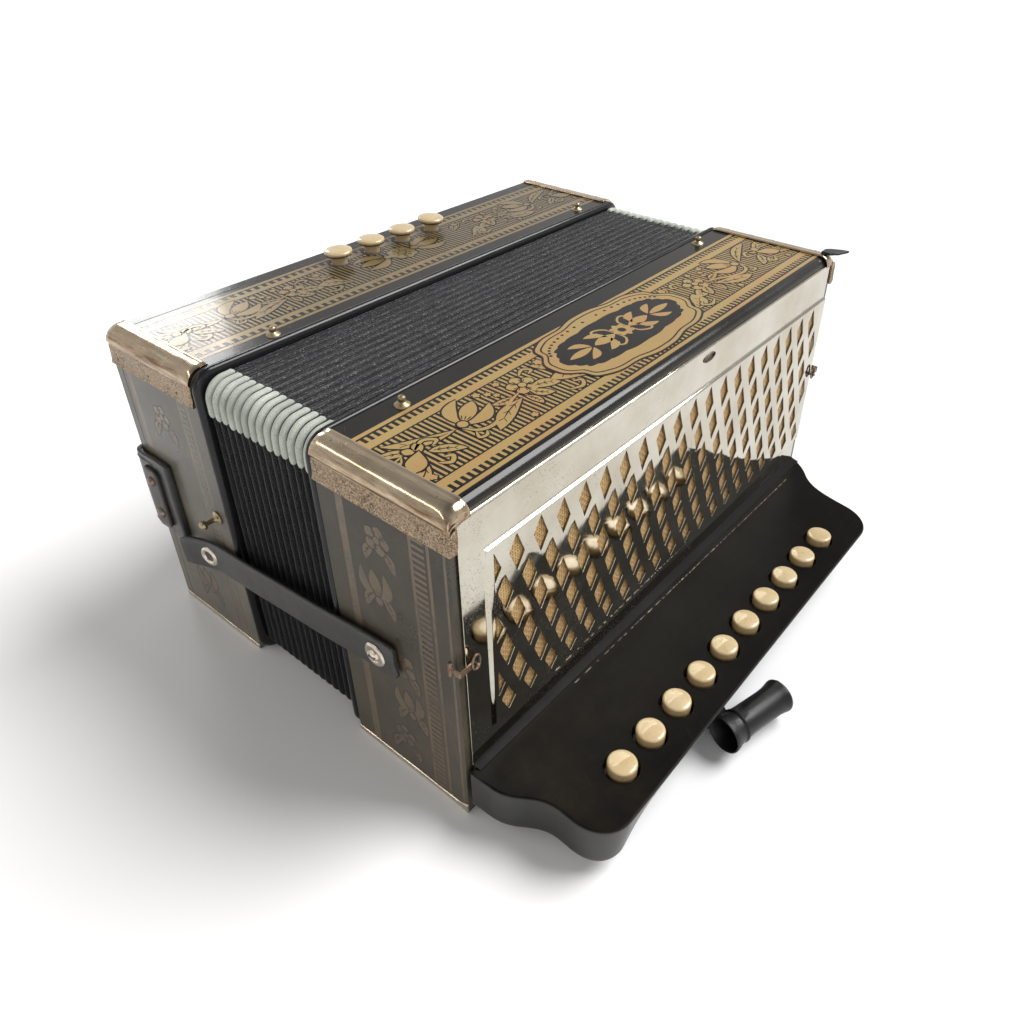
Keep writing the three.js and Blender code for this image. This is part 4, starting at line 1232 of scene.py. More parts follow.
def add_mouldings():
    add_moulding("bass_moulding_near", 0.2, 61.8, "bass", False)
    add_moulding("bass_moulding_far", 0.2, 61.8, "bass", True)
    add_moulding("treble_moulding_near", 135.0, 201.2, "treble", False, True)
    add_moulding("treble_moulding_far", 135.0, 201.2, "treble", True, True)


def add_bottom_trims():
    """Thin metal strips nailed along the lower edge of each end face."""
    for body, x0, x1 in (("bass", 0.3, 61.8), ("treble", 135.2, 200.2)):
        for side, flip, _ in ENDS:
            bm = bmesh.new()
            section = [(-0.1, 2.6), (-0.45, 2.4), (-0.6, 1.9), (-0.55, 0.6), (-0.35, 0.2), (-0.1, 0.15)]
            stations = [x0 + (x1 - x0) * i / 20 for i in range(21)]
            rings = []
            for i, x in enumerate(stations):
                grow = 1.0 + 0.06 * math.sin(x * 1.7)
                if body == "treble" and i >= 19:
                    grow = 1.35 + 0.9 * (i - 19)
                rings.append([(x, flip(y * grow), z * (1 + (grow - 1) * 0.8)) for y, z in section])
            loft(bm, rings)
            link_piece(f"{body}_bottom_trim_{side}", bm, [NICKEL], body, crease=40)


# ------------------------------------------------------------------ grille
PANEL_X = 202.3
PLATE_FAR = CASE_LENGTH - 4.8
BORDER_X = 201.0
DIAMOND_ROWS = 6
DIAMOND_PITCH_Y = 12.9
DIAMOND_PITCH_Z = 14.1
DIAMOND_TOP = 126.5
DIAMOND_FIRST_Y = 16.5


def rounded_hole(points, cut=0.5):
    """A polygon with each corner cut back and rounded a little."""
    made = []
    count = len(points)
    for i in range(count):
        before, here, after = Vector(points[i - 1]), Vector(points[i]), Vector(points[(i + 1) % count])
        a = here + (before - here).normalized() * cut
        b = here + (after - here).normalized() * cut
        made += [a, (a + b) / 2 * 0.4 + here * 0.6, b]
    return made


def diamond_holes():
    holes = []
    half, skew = 4.0, 2.0
    for row in range(DIAMOND_ROWS):
        tall = 8.3 if row < DIAMOND_ROWS - 1 else 6.4
        z = DIAMOND_TOP - tall - row * DIAMOND_PITCH_Z
        y = DIAMOND_FIRST_Y + (row % 2 * 0.5 + (1 - row % 2)) * DIAMOND_PITCH_Y
        while y < 271:
            holes.append([(y, z - tall), (y + half, z - skew), (y, z + tall), (y - half, z + skew)])
            y += DIAMOND_PITCH_Y
        if row % 2 == 0:
            edge = DIAMOND_FIRST_Y + 1.2
            holes.append([(edge, z - tall + 1.5), (edge + 3.6, z - skew), (edge, z + tall - 1.5)])
    return [rounded_hole(h) for h in holes]


def flat_with_holes(bm, outer, holes, place):
    """A flat face with holes through it; place maps (a, b) to the drawing. Returns its vertex loops."""
    loops = [[Vector((p[0], p[1], 0)) for p in loop] for loop in [outer] + holes]
    made = [[bm.verts.new(place(p.x, p.y)) for p in loop] for loop in loops]
    flat = [v for loop in made for v in loop]
    for a, b, c in tessellate_polygon(loops):
        if len({a, b, c}) == 3:
            try:
                bm.faces.new((flat[a], flat[b], flat[c]))
            except ValueError:
                pass
    return made


SLOT_Y, SLOT_Z = 155.2, 141.4


def add_grille():
    bm = bmesh.new()
    y0, y1, z0, z1 = 3.0, PLATE_FAR, GRILLE_Z0, GRILLE_Z1
    ridge = [(y1, 39.4), (14.0, 39.4), (13.5, 128.7), (y1, 128.7)]
    inner = [(y1, 42.0), (16.0, 42.0), (15.5, 127.4), (y1, 127.4)]
    slot = [(SLOT_Y + 4.6 * math.cos(t * math.pi / 8), SLOT_Z + 1.7 * math.sin(t * math.pi / 8))
            for t in range(16)]
    outer = [(y0, z0), (y1, z0)] + ridge + [(y1, z1), (y0, z1)]
    border = flat_with_holes(bm, outer, [slot], lambda y, z: (BORDER_X, y, z))[0]
    panel = flat_with_holes(bm, inner, diamond_holes(), lambda y, z: (PANEL_X, y, z))[0]
    last = border[2:6]
    for step in range(1, 8):
        t = step / 7
        rise = BORDER_X + (PANEL_X - BORDER_X) * t * t * (3 - 2 * t)
        spots = [Vector(a).lerp(Vector(b), t) for a, b in zip(ridge, inner)]
        row = [bm.verts.new((rise, *spot)) for spot in spots] if step < 7 else panel
        for i in range(3):
            bm.faces.new((last[i], last[i + 1], row[i + 1], row[i]))
        last = row
    piece = link_piece("grille_front", bm, [GRILLE_NICKEL], "treble", ("grille_plate",),
                       crease=20, facing=(1, 0, 0))
    solid = piece.modifiers.new("gauge", "SOLIDIFY")
    solid.thickness = 0.5 * MM
    solid.offset = -1
    round_edges(piece, 0.15, 2)
    piece.modifiers.new("shading", "WEIGHTED_NORMAL")


def add_grille_lip():
    """The plate's top edge, folded back over the case, and a rim round the slot in its border."""
    bm = bmesh.new()
    y0, y1 = 3.0, PLATE_FAR
    section = arc(200.4, 145.6, 0.75, -60, 150, 8)
    section += [(198.6, 146.9), (198.5, 146.55), (199.9, 146.0)]
    stations = [y0, y0 + 0.3] + [y0 + (y1 - y0) * i / 40 for i in range(1, 40)] + [y1 - 0.3, y1]
    rings = []
    for y in stations:
        wave = 0.07 * math.sin(y * 0.11) + 0.04 * math.sin(y * 0.37)
        rings.append([(x + wave, y, z + wave * 0.5) for x, z in section])
    loft(bm, rings)
    link_piece("grille_top_fold", bm, [GRILLE_NICKEL], "treble", crease=45)
    # A dark rim round the border's slot. Its closed inner ends fill the slot with a dark face, painted
    # shade in place of its depth.
    bm = bmesh.new()
    ring = []
    for i in range(28):
        t = 2 * math.pi * i / 28
        ring.append((155.2 + 4.9 * math.cos(t), 141.4 + 1.95 * math.sin(t)))
    hollow = [(155.2 + (y - 155.2) * 0.9, 141.4 + (z - 141.4) * 0.78) for y, z in ring]
    rings = [[(BORDER_X - 0.4, y, z) for y, z in ring], [(BORDER_X + 0.3, y, z) for y, z in ring],
             [(BORDER_X + 0.25, y, z) for y, z in hollow], [(BORDER_X - 2.5, y, z) for y, z in hollow]]
    made = loft(bm, rings, caps=False)
    bm.faces.new(made[-1])
    bm.faces.new(made[0])
    link_piece("grille_slot_rim_and_shade", bm, [DARK_NAIL_AND_HOLE_SHADE], "treble", crease=40)


def add_grille_cloth():
    """Gold cloth drawn tight behind the pierced panel, sagging a little between its edges."""
    bm = bmesh.new()
    y0, y1, z0, z1 = 14.6, 272.0, 40.2, 127.8
    columns, rows = 66, 26
    grid = []
    for j in range(rows + 1):
        line = []
        for i in range(columns + 1):
            y = y0 + (y1 - y0) * i / columns
            z = z0 + (z1 - z0) * j / rows
            edge = min(1.0, min(y - y0, y1 - y, z - z0, z1 - z) / 6.0)
            slack = 0.1 * math.sin(y * 0.21) * math.sin(z * 0.13) * edge
            line.append(bm.verts.new((201.2 + slack, y, z)))
        grid.append(line)
    for j in range(rows):
        for i in range(columns):
            bm.faces.new((grid[j][i], grid[j][i + 1], grid[j + 1][i + 1], grid[j + 1][i]))
    cloth = link_piece("grille_cloth_weave", bm, [WEAVE], "treble",
                       ("grille_cloth",), crease=60, facing=(1, 0, 0))
    solid = cloth.modifiers.new("gauge", "SOLIDIFY")
    solid.thickness = 0.25 * MM
    solid.offset = -1


# ------------------------------------------------------------------ buttons
def key_places():
    places = []
    for index in range(1, 11):
        low, high = box_mm(f"treble_button_{index}")
        places.append(((low[0] + high[0]) / 2 - BASS_X0, (low[1] + high[1]) / 2 - CASE_Y0, high[2]))
    return places


def add_treble_buttons():
    chance = random.Random(7)
    for index, (x, y, top) in enumerate(key_places(), 1):
        lean = (chance.uniform(-0.02, 0.02), chance.uniform(-0.02, 0.02))
        height = top + chance.uniform(-0.35, 0.1)
        foot = box_mm(f"treble_button_{index}")[0][2] - height
        bm = bmesh.new()
        profile = [(0, foot), (2.4, foot), (2.4, -9.5), (5.6, -9.2), (5.95, -8.6)]
        profile += [(a, b) for a, b in arc(4.95, -1.52, 1.1, 0, 75, 8)]
        profile += [(5.23 * share, -0.455 + 0.55 * (1 - share ** 2)) for share in (0.9, 0.78, 0.62,
                                                                                   0.44, 0.24, 0)]
        turned(bm, profile, (0, 0, 0), "Z", 56)
        for vertex in bm.verts:
            rise = vertex.co.z
            vertex.co.z = height + rise + (vertex.co.x * lean[0] + vertex.co.y * lean[1])
            vertex.co.x += x
            vertex.co.y += y
        name = f"treble_button_{index}"
        link_piece(name + "_cap", bm, [CREAM], f"treble_key_{index}", (name,),
                   crease=70)


def add_bass_buttons():
    chance = random.Random(11)
    for index in range(1, 5):
        node = f"bass_button_{index}"
        low, high = box_mm(node)
        x, y = (low[0] + high[0]) / 2 - BASS_X0, (low[1] + high[1]) / 2 - CASE_Y0
        top = high[2] + chance.uniform(-0.15, 0.3)
        lean = (chance.uniform(-0.06, 0.06), chance.uniform(-0.05, 0.05))
        bm = bmesh.new()
        stem = [(0, -32), (1.5, -32), (1.5, -21), (3.9, -20.6), (4.0, -2.5)]
        cap = [(6.3, -2.4), (6.75, -2.05), (6.85, -1.5), (6.65, -0.95), (6.0, -0.5), (4.6, -0.2),
               (2.5, -0.05), (0, 0)]
        turned(bm, stem + cap, (0, 0, 0), "Z", 44)
        collar = [(4.0, -3.15), (6.3, -3.0), (6.4, -2.6), (4.0, -2.45)]
        for vertex in bm.verts:
            tip = max(0.0, 1 + vertex.co.z / 12)
            vertex.co.z += top + tip * (vertex.co.x * lean[0] + vertex.co.y * lean[1])
            vertex.co.x += x
            vertex.co.y += y
        link_piece(node + "_cap", bm, [CREAM], f"bass_key_{index}", (node,), crease=50)
        bm = bmesh.new()
        turned(bm, collar + [collar[0]], (0, 0, 0), "Z", 32)
        bmesh.ops.remove_doubles(bm, verts=bm.verts, dist=1e-5)
        for vertex in bm.verts:
            vertex.co.z += top + vertex.co.x * lean[0] + vertex.co.y * lean[1]
            vertex.co.x += x
            vertex.co.y += y
        link_piece(node + "_felt", bm, [FELT], f"bass_key_{index}", crease=60)
        bm = bmesh.new()
        ferrule = [(4.5, 0.15), (5.6, 0.12), (6.1, 0.02), (6.2, -0.3), (4.5, -0.3), (4.5, 0.15)]
        turned(bm, ferrule, (x, y, CASE_Z1 + 0.1), "Z", 36)
        bmesh.ops.remove_doubles(bm, verts=bm.verts, dist=1e-5)
        link_piece(node + "_bush", bm, [FELT], "bass", crease=60)


def add_air_button():
    low, high = box_mm("air_button")
    y, z = (low[1] + high[1]) / 2 - CASE_Y0, (low[2] + high[2]) / 2
    tip = low[0] - BASS_X0
    bm = bmesh.new()
    profile = [(0, -tip - 17.5), (8.8, -tip - 17.5), (8.9, -tip - 15.4), (2.0, -tip - 15.0),
               (2.0, -tip - 3.6)]
    profile += [(6.3, -tip - 3.4), (6.8, -tip - 2.8), (6.8, -tip - 1.9), (6.2, -tip - 0.9),
                (4.4, -tip - 0.3), (0, -tip)]
    turned(bm, profile, (0, y, z), "-X", 40)
    link_piece("air_button_cap", bm, [CREAM], "air_valve", ("air_button",), crease=50)


# ------------------------------------------------------------------ bellows
FOLDS = 14
BELLOWS_X0, BELLOWS_X1 = 66.3, 130.7
CORNER = 8.0


def ring_path(inset, corner_steps=9, side_steps=7):
    """Points round the bellows in (y, z) with their outward directions and whether on a corner."""
    y0, y1, z0, z1 = inset, CASE_LENGTH - inset, inset, CASE_Z1 - inset
    r = CORNER
    path = []
    for cy, cz, start in ((y0 + r, z1 - r, 90), (y0 + r, z0 + r, 180), (y1 - r, z0 + r, 270),
                          (y1 - r, z1 - r, 0)):
        for i in range(corner_steps + 1):
            angle = math.radians(start + 90 * i / corner_steps)
            out = Vector((math.cos(angle), math.sin(angle)))
            path.append((Vector((cy, cz)) + out * r, out))
        nxt = {90: (y0, z0 + r), 180: (y1 - r, z0), 270: (y1, z1 - r), 0: (y0 + r, z1)}[start]
        here = path[-1][0]
        for i in range(1, side_steps):
            path.append((here.lerp(Vector(nxt), i / side_steps), out))
    return path


FLAT_FOLD = [(0.0, 4.4), (0.06, 1.4), (0.12, 0.25), (0.19, 0.0), (0.27, 0.08), (0.34, 0.75),
             (0.40, 0.25), (0.50, 0.06), (0.76, 0.02), (0.90, 0.3), (0.96, 1.4)]
DEEP_FOLD = [(0.0, 7.2), (0.10, 6.2), (0.22, 4.4), (0.31, 2.0), (0.37, 0.5), (0.43, 0.05), (0.5, 0.0),
             (0.57, 0.1), (0.64, 0.8), (0.73, 2.6), (0.86, 5.2)]


def add_bellows():
    """Folded card: nearly flat on the top and bottom, deeply creased on the two end faces."""
    bm = bmesh.new()
    pitch = (BELLOWS_X1 - BELLOWS_X0) / FOLDS
    inside = [(BELLOWS_X1, 11.0)]
    inside += [(BELLOWS_X1 - (BELLOWS_X1 - BELLOWS_X0) * i / 12, 11.0) for i in range(1, 12)]
    inside += [(BELLOWS_X0, 11.0)]
    rings = []
    for index, (spot, out) in enumerate(ring_path(2.5)):
        deep = abs(out.x) ** 1.5
        ring = []
        for fold in range(FOLDS):
            for (share_a, depth_a), (share_b, depth_b) in zip(FLAT_FOLD, DEEP_FOLD):
                share = share_a + (share_b - share_a) * deep
                depth = depth_a + (depth_b - depth_a) * deep
                x = BELLOWS_X0 + pitch * (fold + share)
                wander = 0.1 * math.sin(index * 0.7 + x * 1.3) if 0 < share else 0.0
                ring.append((x + wander, *(spot - out * depth)))
        ring += [(x, *(spot - out * depth)) for x, depth in [(BELLOWS_X1, 5.6)] + inside]
        rings.append(ring)
    loft(bm, rings, closed_path=True)
    start, end = to_row(BELLOWS_X0, 140, 75), to_row(BELLOWS_X1, 140, 75)
    link_piece("bellows_folds", bm, [BELLOWS], None, ("bellows",), crease=50,
               blend=("bass", "treble", start, end))


def to_row(x, y, z):
    """A drawing point in metres in the frame's own axes."""
    return ((x + BASS_X0) * MM, (y + CASE_Y0) * MM, z * MM)


def gusset_path(corner, reach_top, reach_side, steps):
    """From the upper or lower face round a corner to an end face, as (point, outward, share)."""
    y_side, z_side = corner
    inset = 2.5
    cy = inset + CORNER if y_side < 0 else CASE_LENGTH - inset - CORNER
    cz = CASE_Z1 - inset - CORNER if z_side > 0 else inset + CORNER
    top, side = Vector((0, z_side)), Vector((y_side, 0))
    quarter = math.pi / 2 * CORNER
    total = reach_top + quarter + reach_side
    points = []
    for i in range(steps + 1):
        s = total * i / steps
        if s < reach_top:
            spot = Vector((cy, cz)) + top * CORNER - side * (reach_top - s)
            out = top
        elif s < reach_top + quarter:
            angle = (s - reach_top) / CORNER
            out = top * math.cos(angle) + side * math.sin(angle)
            spot = Vector((cy, cz)) + out * CORNER
        else:
            spot = Vector((cy, cz)) + side * CORNER - top * (s - reach_top - quarter)
            out = side
        points.append((spot, out, s, total))
    return points


def add_gussets():
    """Soft leather over each fold's corners, one pad to a fold, rounded where it ends."""
    pitch = (BELLOWS_X1 - BELLOWS_X0) / FOLDS
    bm = bmesh.new()
    chance = random.Random(3)
    for corner, over_top in (((-1, 1), 5.2), ((1, 1), 2.6)):
        for fold in range(FOLDS):
            middle = BELLOWS_X0 + pitch * (fold + 0.5)
            reach_top = over_top + chance.uniform(-0.3, 0.3)
            reach_side = 7.6 + chance.uniform(-0.4, 0.4)
            rings = []
            for spot, out, s, total in gusset_path(corner, reach_top, reach_side, 26):
                left, right = s + 0.35, total - s
                swell = min(1.0, math.sqrt(max(0.0, 1 - (1 - min(1.0, right / 5.0)) ** 2)) + 0.1)
                swell = min(swell, 0.72 + 0.28 * min(1.0, left / 0.8))
                half = pitch * 0.325 * swell
                rise = 1.2 * min(1.0, swell * 1.05) * min(1.0, left / 1.2 + 0.2)
                lean = 0.35 * math.sin(math.pi * s / total)
                ring = []
                for k in range(9):
                    angle = math.pi * k / 8
                    x = middle + lean - half * math.cos(angle)
                    lift = -0.6 + (rise + 0.6) * math.sin(angle) ** 0.85
                    ring.append((x, *(spot + out * lift)))
                for k in range(7, 0, -1):
                    angle = math.pi * k / 8
                    x = middle + lean - half * math.cos(angle)
                    ring.append((x, *(spot - out * 0.8)))
                rings.append(ring)
            loft(bm, rings)
    start, end = to_row(BELLOWS_X0, 140, 75), to_row(BELLOWS_X1, 140, 75)
    link_piece("bellows_gussets", bm, [GUSSET], None, crease=60,
               blend=("bass", "treble", start, end))


def add_bellows_frames():
    """The glossy wooden rims at each end of the bellows, with a rolled outer edge."""
    for name, x0, x1, body, inward in (("bellows_frame_bass", 62.3, 66.0, "bass", 1),
                                       ("bellows_frame_treble", 131.0, 134.7, "treble", -1)):
        width = x1 - x0
        near = x0 if inward > 0 else x1
        steps = [(0.02, 0.3), (0.08, -0.45), (0.2, -0.95), (0.36, -1.2), (0.52, -1.22),
                 (0.68, -1.0), (0.82, -0.5),
                 (0.93, 0.3), (1.0, 1.4), (1.0, 11.5), (0.0, 11.5), (0.0, 1.2)]
        rings = []
        for spot, out in ring_path(0.5, 10, 4):
            ring = []
            for share, depth in steps:
                y, z = spot - out * depth
                ring.append((near + inward * width * share, y, max(0.0, z)))
            rings.append(ring)
        bm = bmesh.new()
        loft(bm, rings, closed_path=True)
        link_piece(name + "_rim", bm, [FRAME_GLOSS], body, (name,), crease=40)


# ------------------------------------------------------------------ leather
def strap_section(half_width, thick, round_off=0.6, dome=0.25):
    """Section of a flat strap: (across, out), edges rounded and the face slightly domed."""
    w, t, r = half_width, thick, min(round_off, half_width * 0.4)
    face = []
    for i in range(9):
        a = -w + r + (2 * w - 2 * r) * i / 8
        face.append((a, t + dome * (1 - (a / w) ** 2)))
    return ([(-w, 0.35), (-w, t * 0.6), (-w + r * 0.35, t - 0.15)] + face
            + [(w - r * 0.35, t - 0.15), (w, t * 0.6), (w, 0.35), (w - 0.35, 0), (0, 0), (-w + 0.35, 0)])


STRAP_PIVOT = (158.4, 65.0)
STRAP_SLOPE = math.radians(6.5)
STRAP_FACE = 2.2
STRAP_HALF = 7.9


def strap_point(s, across, out, far):
    """A point on a bellows strap: s from its screw towards the bass box, across its width."""
    along = Vector((-math.cos(STRAP_SLOPE), -math.sin(STRAP_SLOPE)))
    up = Vector((-math.sin(STRAP_SLOPE), math.cos(STRAP_SLOPE)))
    spot = Vector(STRAP_PIVOT) + along * s + up * across
    y = -out
    return (spot.x, CASE_LENGTH - y if far else y, spot.y)


def strap_lift(s):
    """How far the strap's back stands off the end face: it bows, and its free end curls away."""
    lift = 1.1 + 0.5 * math.sin(math.pi * max(0.0, min(1.0, s / 110)))
    if s > 104:
        lift += 0.011 * (s - 104) ** 2 * 0.72
    return lift


def add_bellows_straps():
    for side, far in (("near", False), ("far", True)):
        body = f"strap_{side}"
        stations = [-10.2, -10.0, -9.5, -8.6, -6.0] + [s for s in range(-3, 128, 4)] + [129.4, 130.6]
        rings = []
        for s in stations:
            half = STRAP_HALF
            if s < -8.6:
                half -= 1.6 - 1.6 * math.sqrt(max(0.0, 1 - ((-8.6 - s) / 1.6) ** 2))
            if s > 127.5:
                half -= 0.2 + (s - 127.5) * 0.5
            wave = 0.16 * math.sin(s * 0.13)
            lift = strap_lift(s)
            thick = 2.0 if -10 < s < 130 else 1.3
            rings.append([strap_point(s, a + wave, lift + o, far) for a,
                          o in strap_section(half, thick)])
        bm = bmesh.new()
        loft(bm, rings)
        link_piece(f"bellows_strap_{side}_leather", bm, [STRAP_HIDE], body,
                   (f"bellows_strap_{side}",), crease=50)
        add_strap_screw(side, far, body)
        add_strap_eyelet(side, far, body)


def side_axis(far):
    return "Y" if far else "-Y"


def add_strap_screw(side, far, body):
    bm = bmesh.new()
    face = 3.35
    origin = strap_point(0, 0, 0, far)
    washer = [(1.8, -0.3), (5.3, -0.3), (5.5, 0.15), (5.2, 0.6), (4.6, 0.85), (3.4, 0.8),
              (2.9, 0.45), (1.8, 0.4), (1.8, -0.3)]
    turned(bm, [(r, h + face) for r, h in washer], origin, side_axis(far), 36)
    bmesh.ops.remove_doubles(bm, verts=bm.verts, dist=1e-5)
    head = [(0, 1.95), (0.9, 1.88), (1.8, 1.55), (2.4, 1.0), (2.6, 0.45), (2.6, -1.5), (0, -1.5)]
    turned(bm, [(r, h + face) for r, h in head], origin, side_axis(far), 28)
    link_piece(f"bellows_strap_screw_{side}", bm, [NICKEL], body, crease=50)
    # A dark bar stands in for the screw's slot: painted shade of the recess.
    bm = bmesh.new()
    rings = []
    for a, o in ((-0.28, 1.2), (-0.28, 2.0), (0.28, 2.0), (0.28, 1.2)):
        rings.append((a, face + o))
    ends = []
    for s in (-1.9, 1.9):
        ends.append([strap_point(s, a, o, far) for a, o in rings])
    loft(bm, ends)
    link_piece(f"bellows_strap_screw_slot_shade_{side}", bm, [DARK_NAIL_AND_HOLE_SHADE], body, crease=30)


def on_strap(bm, profile, s, far, segments):
    """Turns a (radius, height) profile standing on a bellows strap's face, following its curl."""
    rows = []
    for radius, height in profile:
        row = []
        for i in range(segments if radius > 1e-6 else 1):
            angle = 2 * math.pi * i / segments
            along = s + radius * math.cos(angle)
            spot = strap_point(along, radius * math.sin(angle),
                               strap_lift(along) + STRAP_FACE + height, far)
            row.append(bm.verts.new(spot))
        rows.append(row)
    join_rows(bm, rows, segments)


def add_strap_eyelet(side, far, body):
    bm = bmesh.new()
    rim = [(2.5, -0.6), (2.55, 0.1), (2.9, 0.5), (3.5, 0.72), (4.2, 0.66), (4.8, 0.36), (5.1, 0.0),
           (5.1, -0.3), (3.4, -0.5), (2.5, -0.6)]
    on_strap(bm, rim, 114, far, 36)
    bmesh.ops.remove_doubles(bm, verts=bm.verts, dist=1e-5)
    link_piece(f"bellows_strap_eyelet_{side}", bm, [NICKEL], body, crease=50)
    # A dark disc fills the eyelet's hole: painted shade in place of the open hole.
    bm = bmesh.new()
    on_strap(bm, [(0, 0.05), (2.48, 0.05), (2.48, -0.5), (0, -0.5)], 114, far, 24)
    link_piece(f"bellows_strap_hole_shade_{side}", bm, [DARK_NAIL_AND_HOLE_SHADE], body, crease=30)


HAND_MIDDLE = 70.0
HAND_HALF = 21.0


def hand_strap_path():
    """The strap's middle line in (x, y), from the near end face round to the far one, with normals."""
    knots = [(24.0, -0.4), (16.0, -0.4), (7.0, -0.4), (1.6, -0.3), (-0.35, 1.6), (-0.4, 12.0),
             (-1.4, 22.0)]
    knots += [(-4.9, 32.5), (-15.2, 56.5), (-25.4, 90.2), (-29.3, 115.0), (-30.0, 140.0)]
    mirrored = [(x, CASE_LENGTH - y) for x, y in knots[-2::-1]]
    path = smooth_path([(x, y, 0) for x, y in knots + mirrored], 6)
    made = []
    last = len(path) - 1
    for i, point in enumerate(path):
        along = (path[min(i + 1, last)] - path[max(i - 1, 0)]).normalized()
        made.append((Vector((point.x, point.y)), Vector((-along.y, along.x))))
    return made


def add_hand_strap():
    path = hand_strap_path()
    last = len(path) - 1
    rings = []
    for i, (spot, out) in enumerate(path):
        half = HAND_HALF
        from_end = min(i, last - i)
        if from_end == 0:
            half -= 1.2
        sway = 0.25 * math.sin(i * 0.31)
        thick = 2.7 if from_end else 1.9
        ring = []
        for a, o in strap_section(half, thick, 1.0, 0.3):
            pos = spot + out * (o + 0.05)
            ring.append((pos.x, pos.y, HAND_MIDDLE + a + sway))
        rings.append(ring)
    bm = bmesh.new()
    loft(bm, rings)
    link_piece("hand_strap_leather", bm, [STRAP_HIDE], "bass", ("hand_strap",),
               crease=50)
    add_stitches(path)


def add_stitches(path):
    bm = bmesh.new()
    for i in range(8, len(path) - 9):
        (a, out_a), (b, _) = path[i], path[i + 1]
        gap = (b - a).length
        count = max(1, round(gap / 3.2))
        for k in range(count):
            start = a.lerp(b, (k + 0.15) / count)
            end = a.lerp(b, (k + 0.8) / count)
            for z in (HAND_MIDDLE - HAND_HALF + 3.0, HAND_MIDDLE + HAND_HALF - 3.0):
                rings = []
                for t in range(5):
                    spot = start.lerp(end, t / 4) + out_a * (2.72 + 0.28 * math.sin(math.pi * t / 4))
                    ring = []
                    for q in range(6):
                        angle = 2 * math.pi * q / 6
                        pos = spot + out_a * 0.28 * math.sin(angle)
                        ring.append((pos.x, pos.y, z + 0.28 * math.cos(angle)))
                    rings.append(ring)
                loft(bm, rings)
    link_piece("hand_strap_stitching", bm, [THREAD], "bass", crease=60)


def add_hand_plates():
    for side, flip, _ in ENDS:
        bm = bmesh.new()
        rings = []
        for grow, out in ((0.0, -3.4), (0.0, -4.5), (-0.35, -4.9), (-1.1, -5.05), (-2.4, -5.1)):
            outline = rounded_rectangle(5 - grow, 17 + grow, 54 - grow, 86 + grow, 3.2 + grow, 5)
            rings.append([(x, flip(out), z) for x, z in outline])
        loft(bm, rings)
        link_piece(f"hand_strap_plate_{side}_metal", bm, [PLATE_BLACK], "bass",
                   (f"hand_strap_plate_{side}",), crease=40)
        bm = bmesh.new()
        for z in (61.0, 79.0):
            head = [(0, 1.5), (1.1, 1.4), (2.1, 0.9), (2.6, 0.2), (2.6, -0.4), (0, -0.4)]
            axis = "-Y" if side == "near" else "Y"
            turned(bm, [(r, h + 5.0) for r, h in head], (11, flip(0), z), axis, 24)
        link_piece(f"hand_strap_screws_{side}", bm, [CLIP_STEEL], "bass", crease=50)


def add_studs():
    for side, flip, axis in ENDS:
        bm = bmesh.new()
        profile = [(0, -0.1), (3.2, -0.1), (3.3, 0.3), (2.9, 0.6), (1.9, 0.9), (1.3, 1.4),
                   (1.05, 2.4), (1.0, 5.0)]
        profile += [(1.2, 5.5), (1.8, 5.8), (2.1, 6.4), (2.1, 7.1), (1.8, 7.8), (1.3, 8.3),
                    (0.6, 8.5), (0, 8.55)]
        turned(bm, [(r, h + 0.3) for r, h in profile], (55, flip(0), 77), axis, 28)
        link_piece(f"strap_stud_{side}_brass", bm, [PIN_METAL], "bass",
                   (f"strap_stud_{side}",), crease=50)


def add_top_pins():
    """The ball-headed pins through each bellows frame's edge, standing on the top faces."""
    pins = (("bass", 58.8, 41.8), ("bass", 57.4, 251.2), ("treble", 141.9, 36.7),
            ("treble", 139.2, 247.9))
    for number, (body, x, y) in enumerate(pins, 1):
        bm = bmesh.new()
        profile = [(0, -0.4), (3.1, -0.4), (3.15, 0.25), (2.7, 0.7), (1.7, 1.1), (1.3, 1.6),
                   (1.45, 2.2), (1.6, 2.8)]
        profile += [(1.45, 3.4), (1.0, 3.8), (0.5, 3.95), (0, 4.0)]
        turned(bm, profile, (x, y, CASE_Z1), "Z", 28)
        link_piece(f"bellows_pin_{number}", bm, [PIN_METAL], body, crease=50)


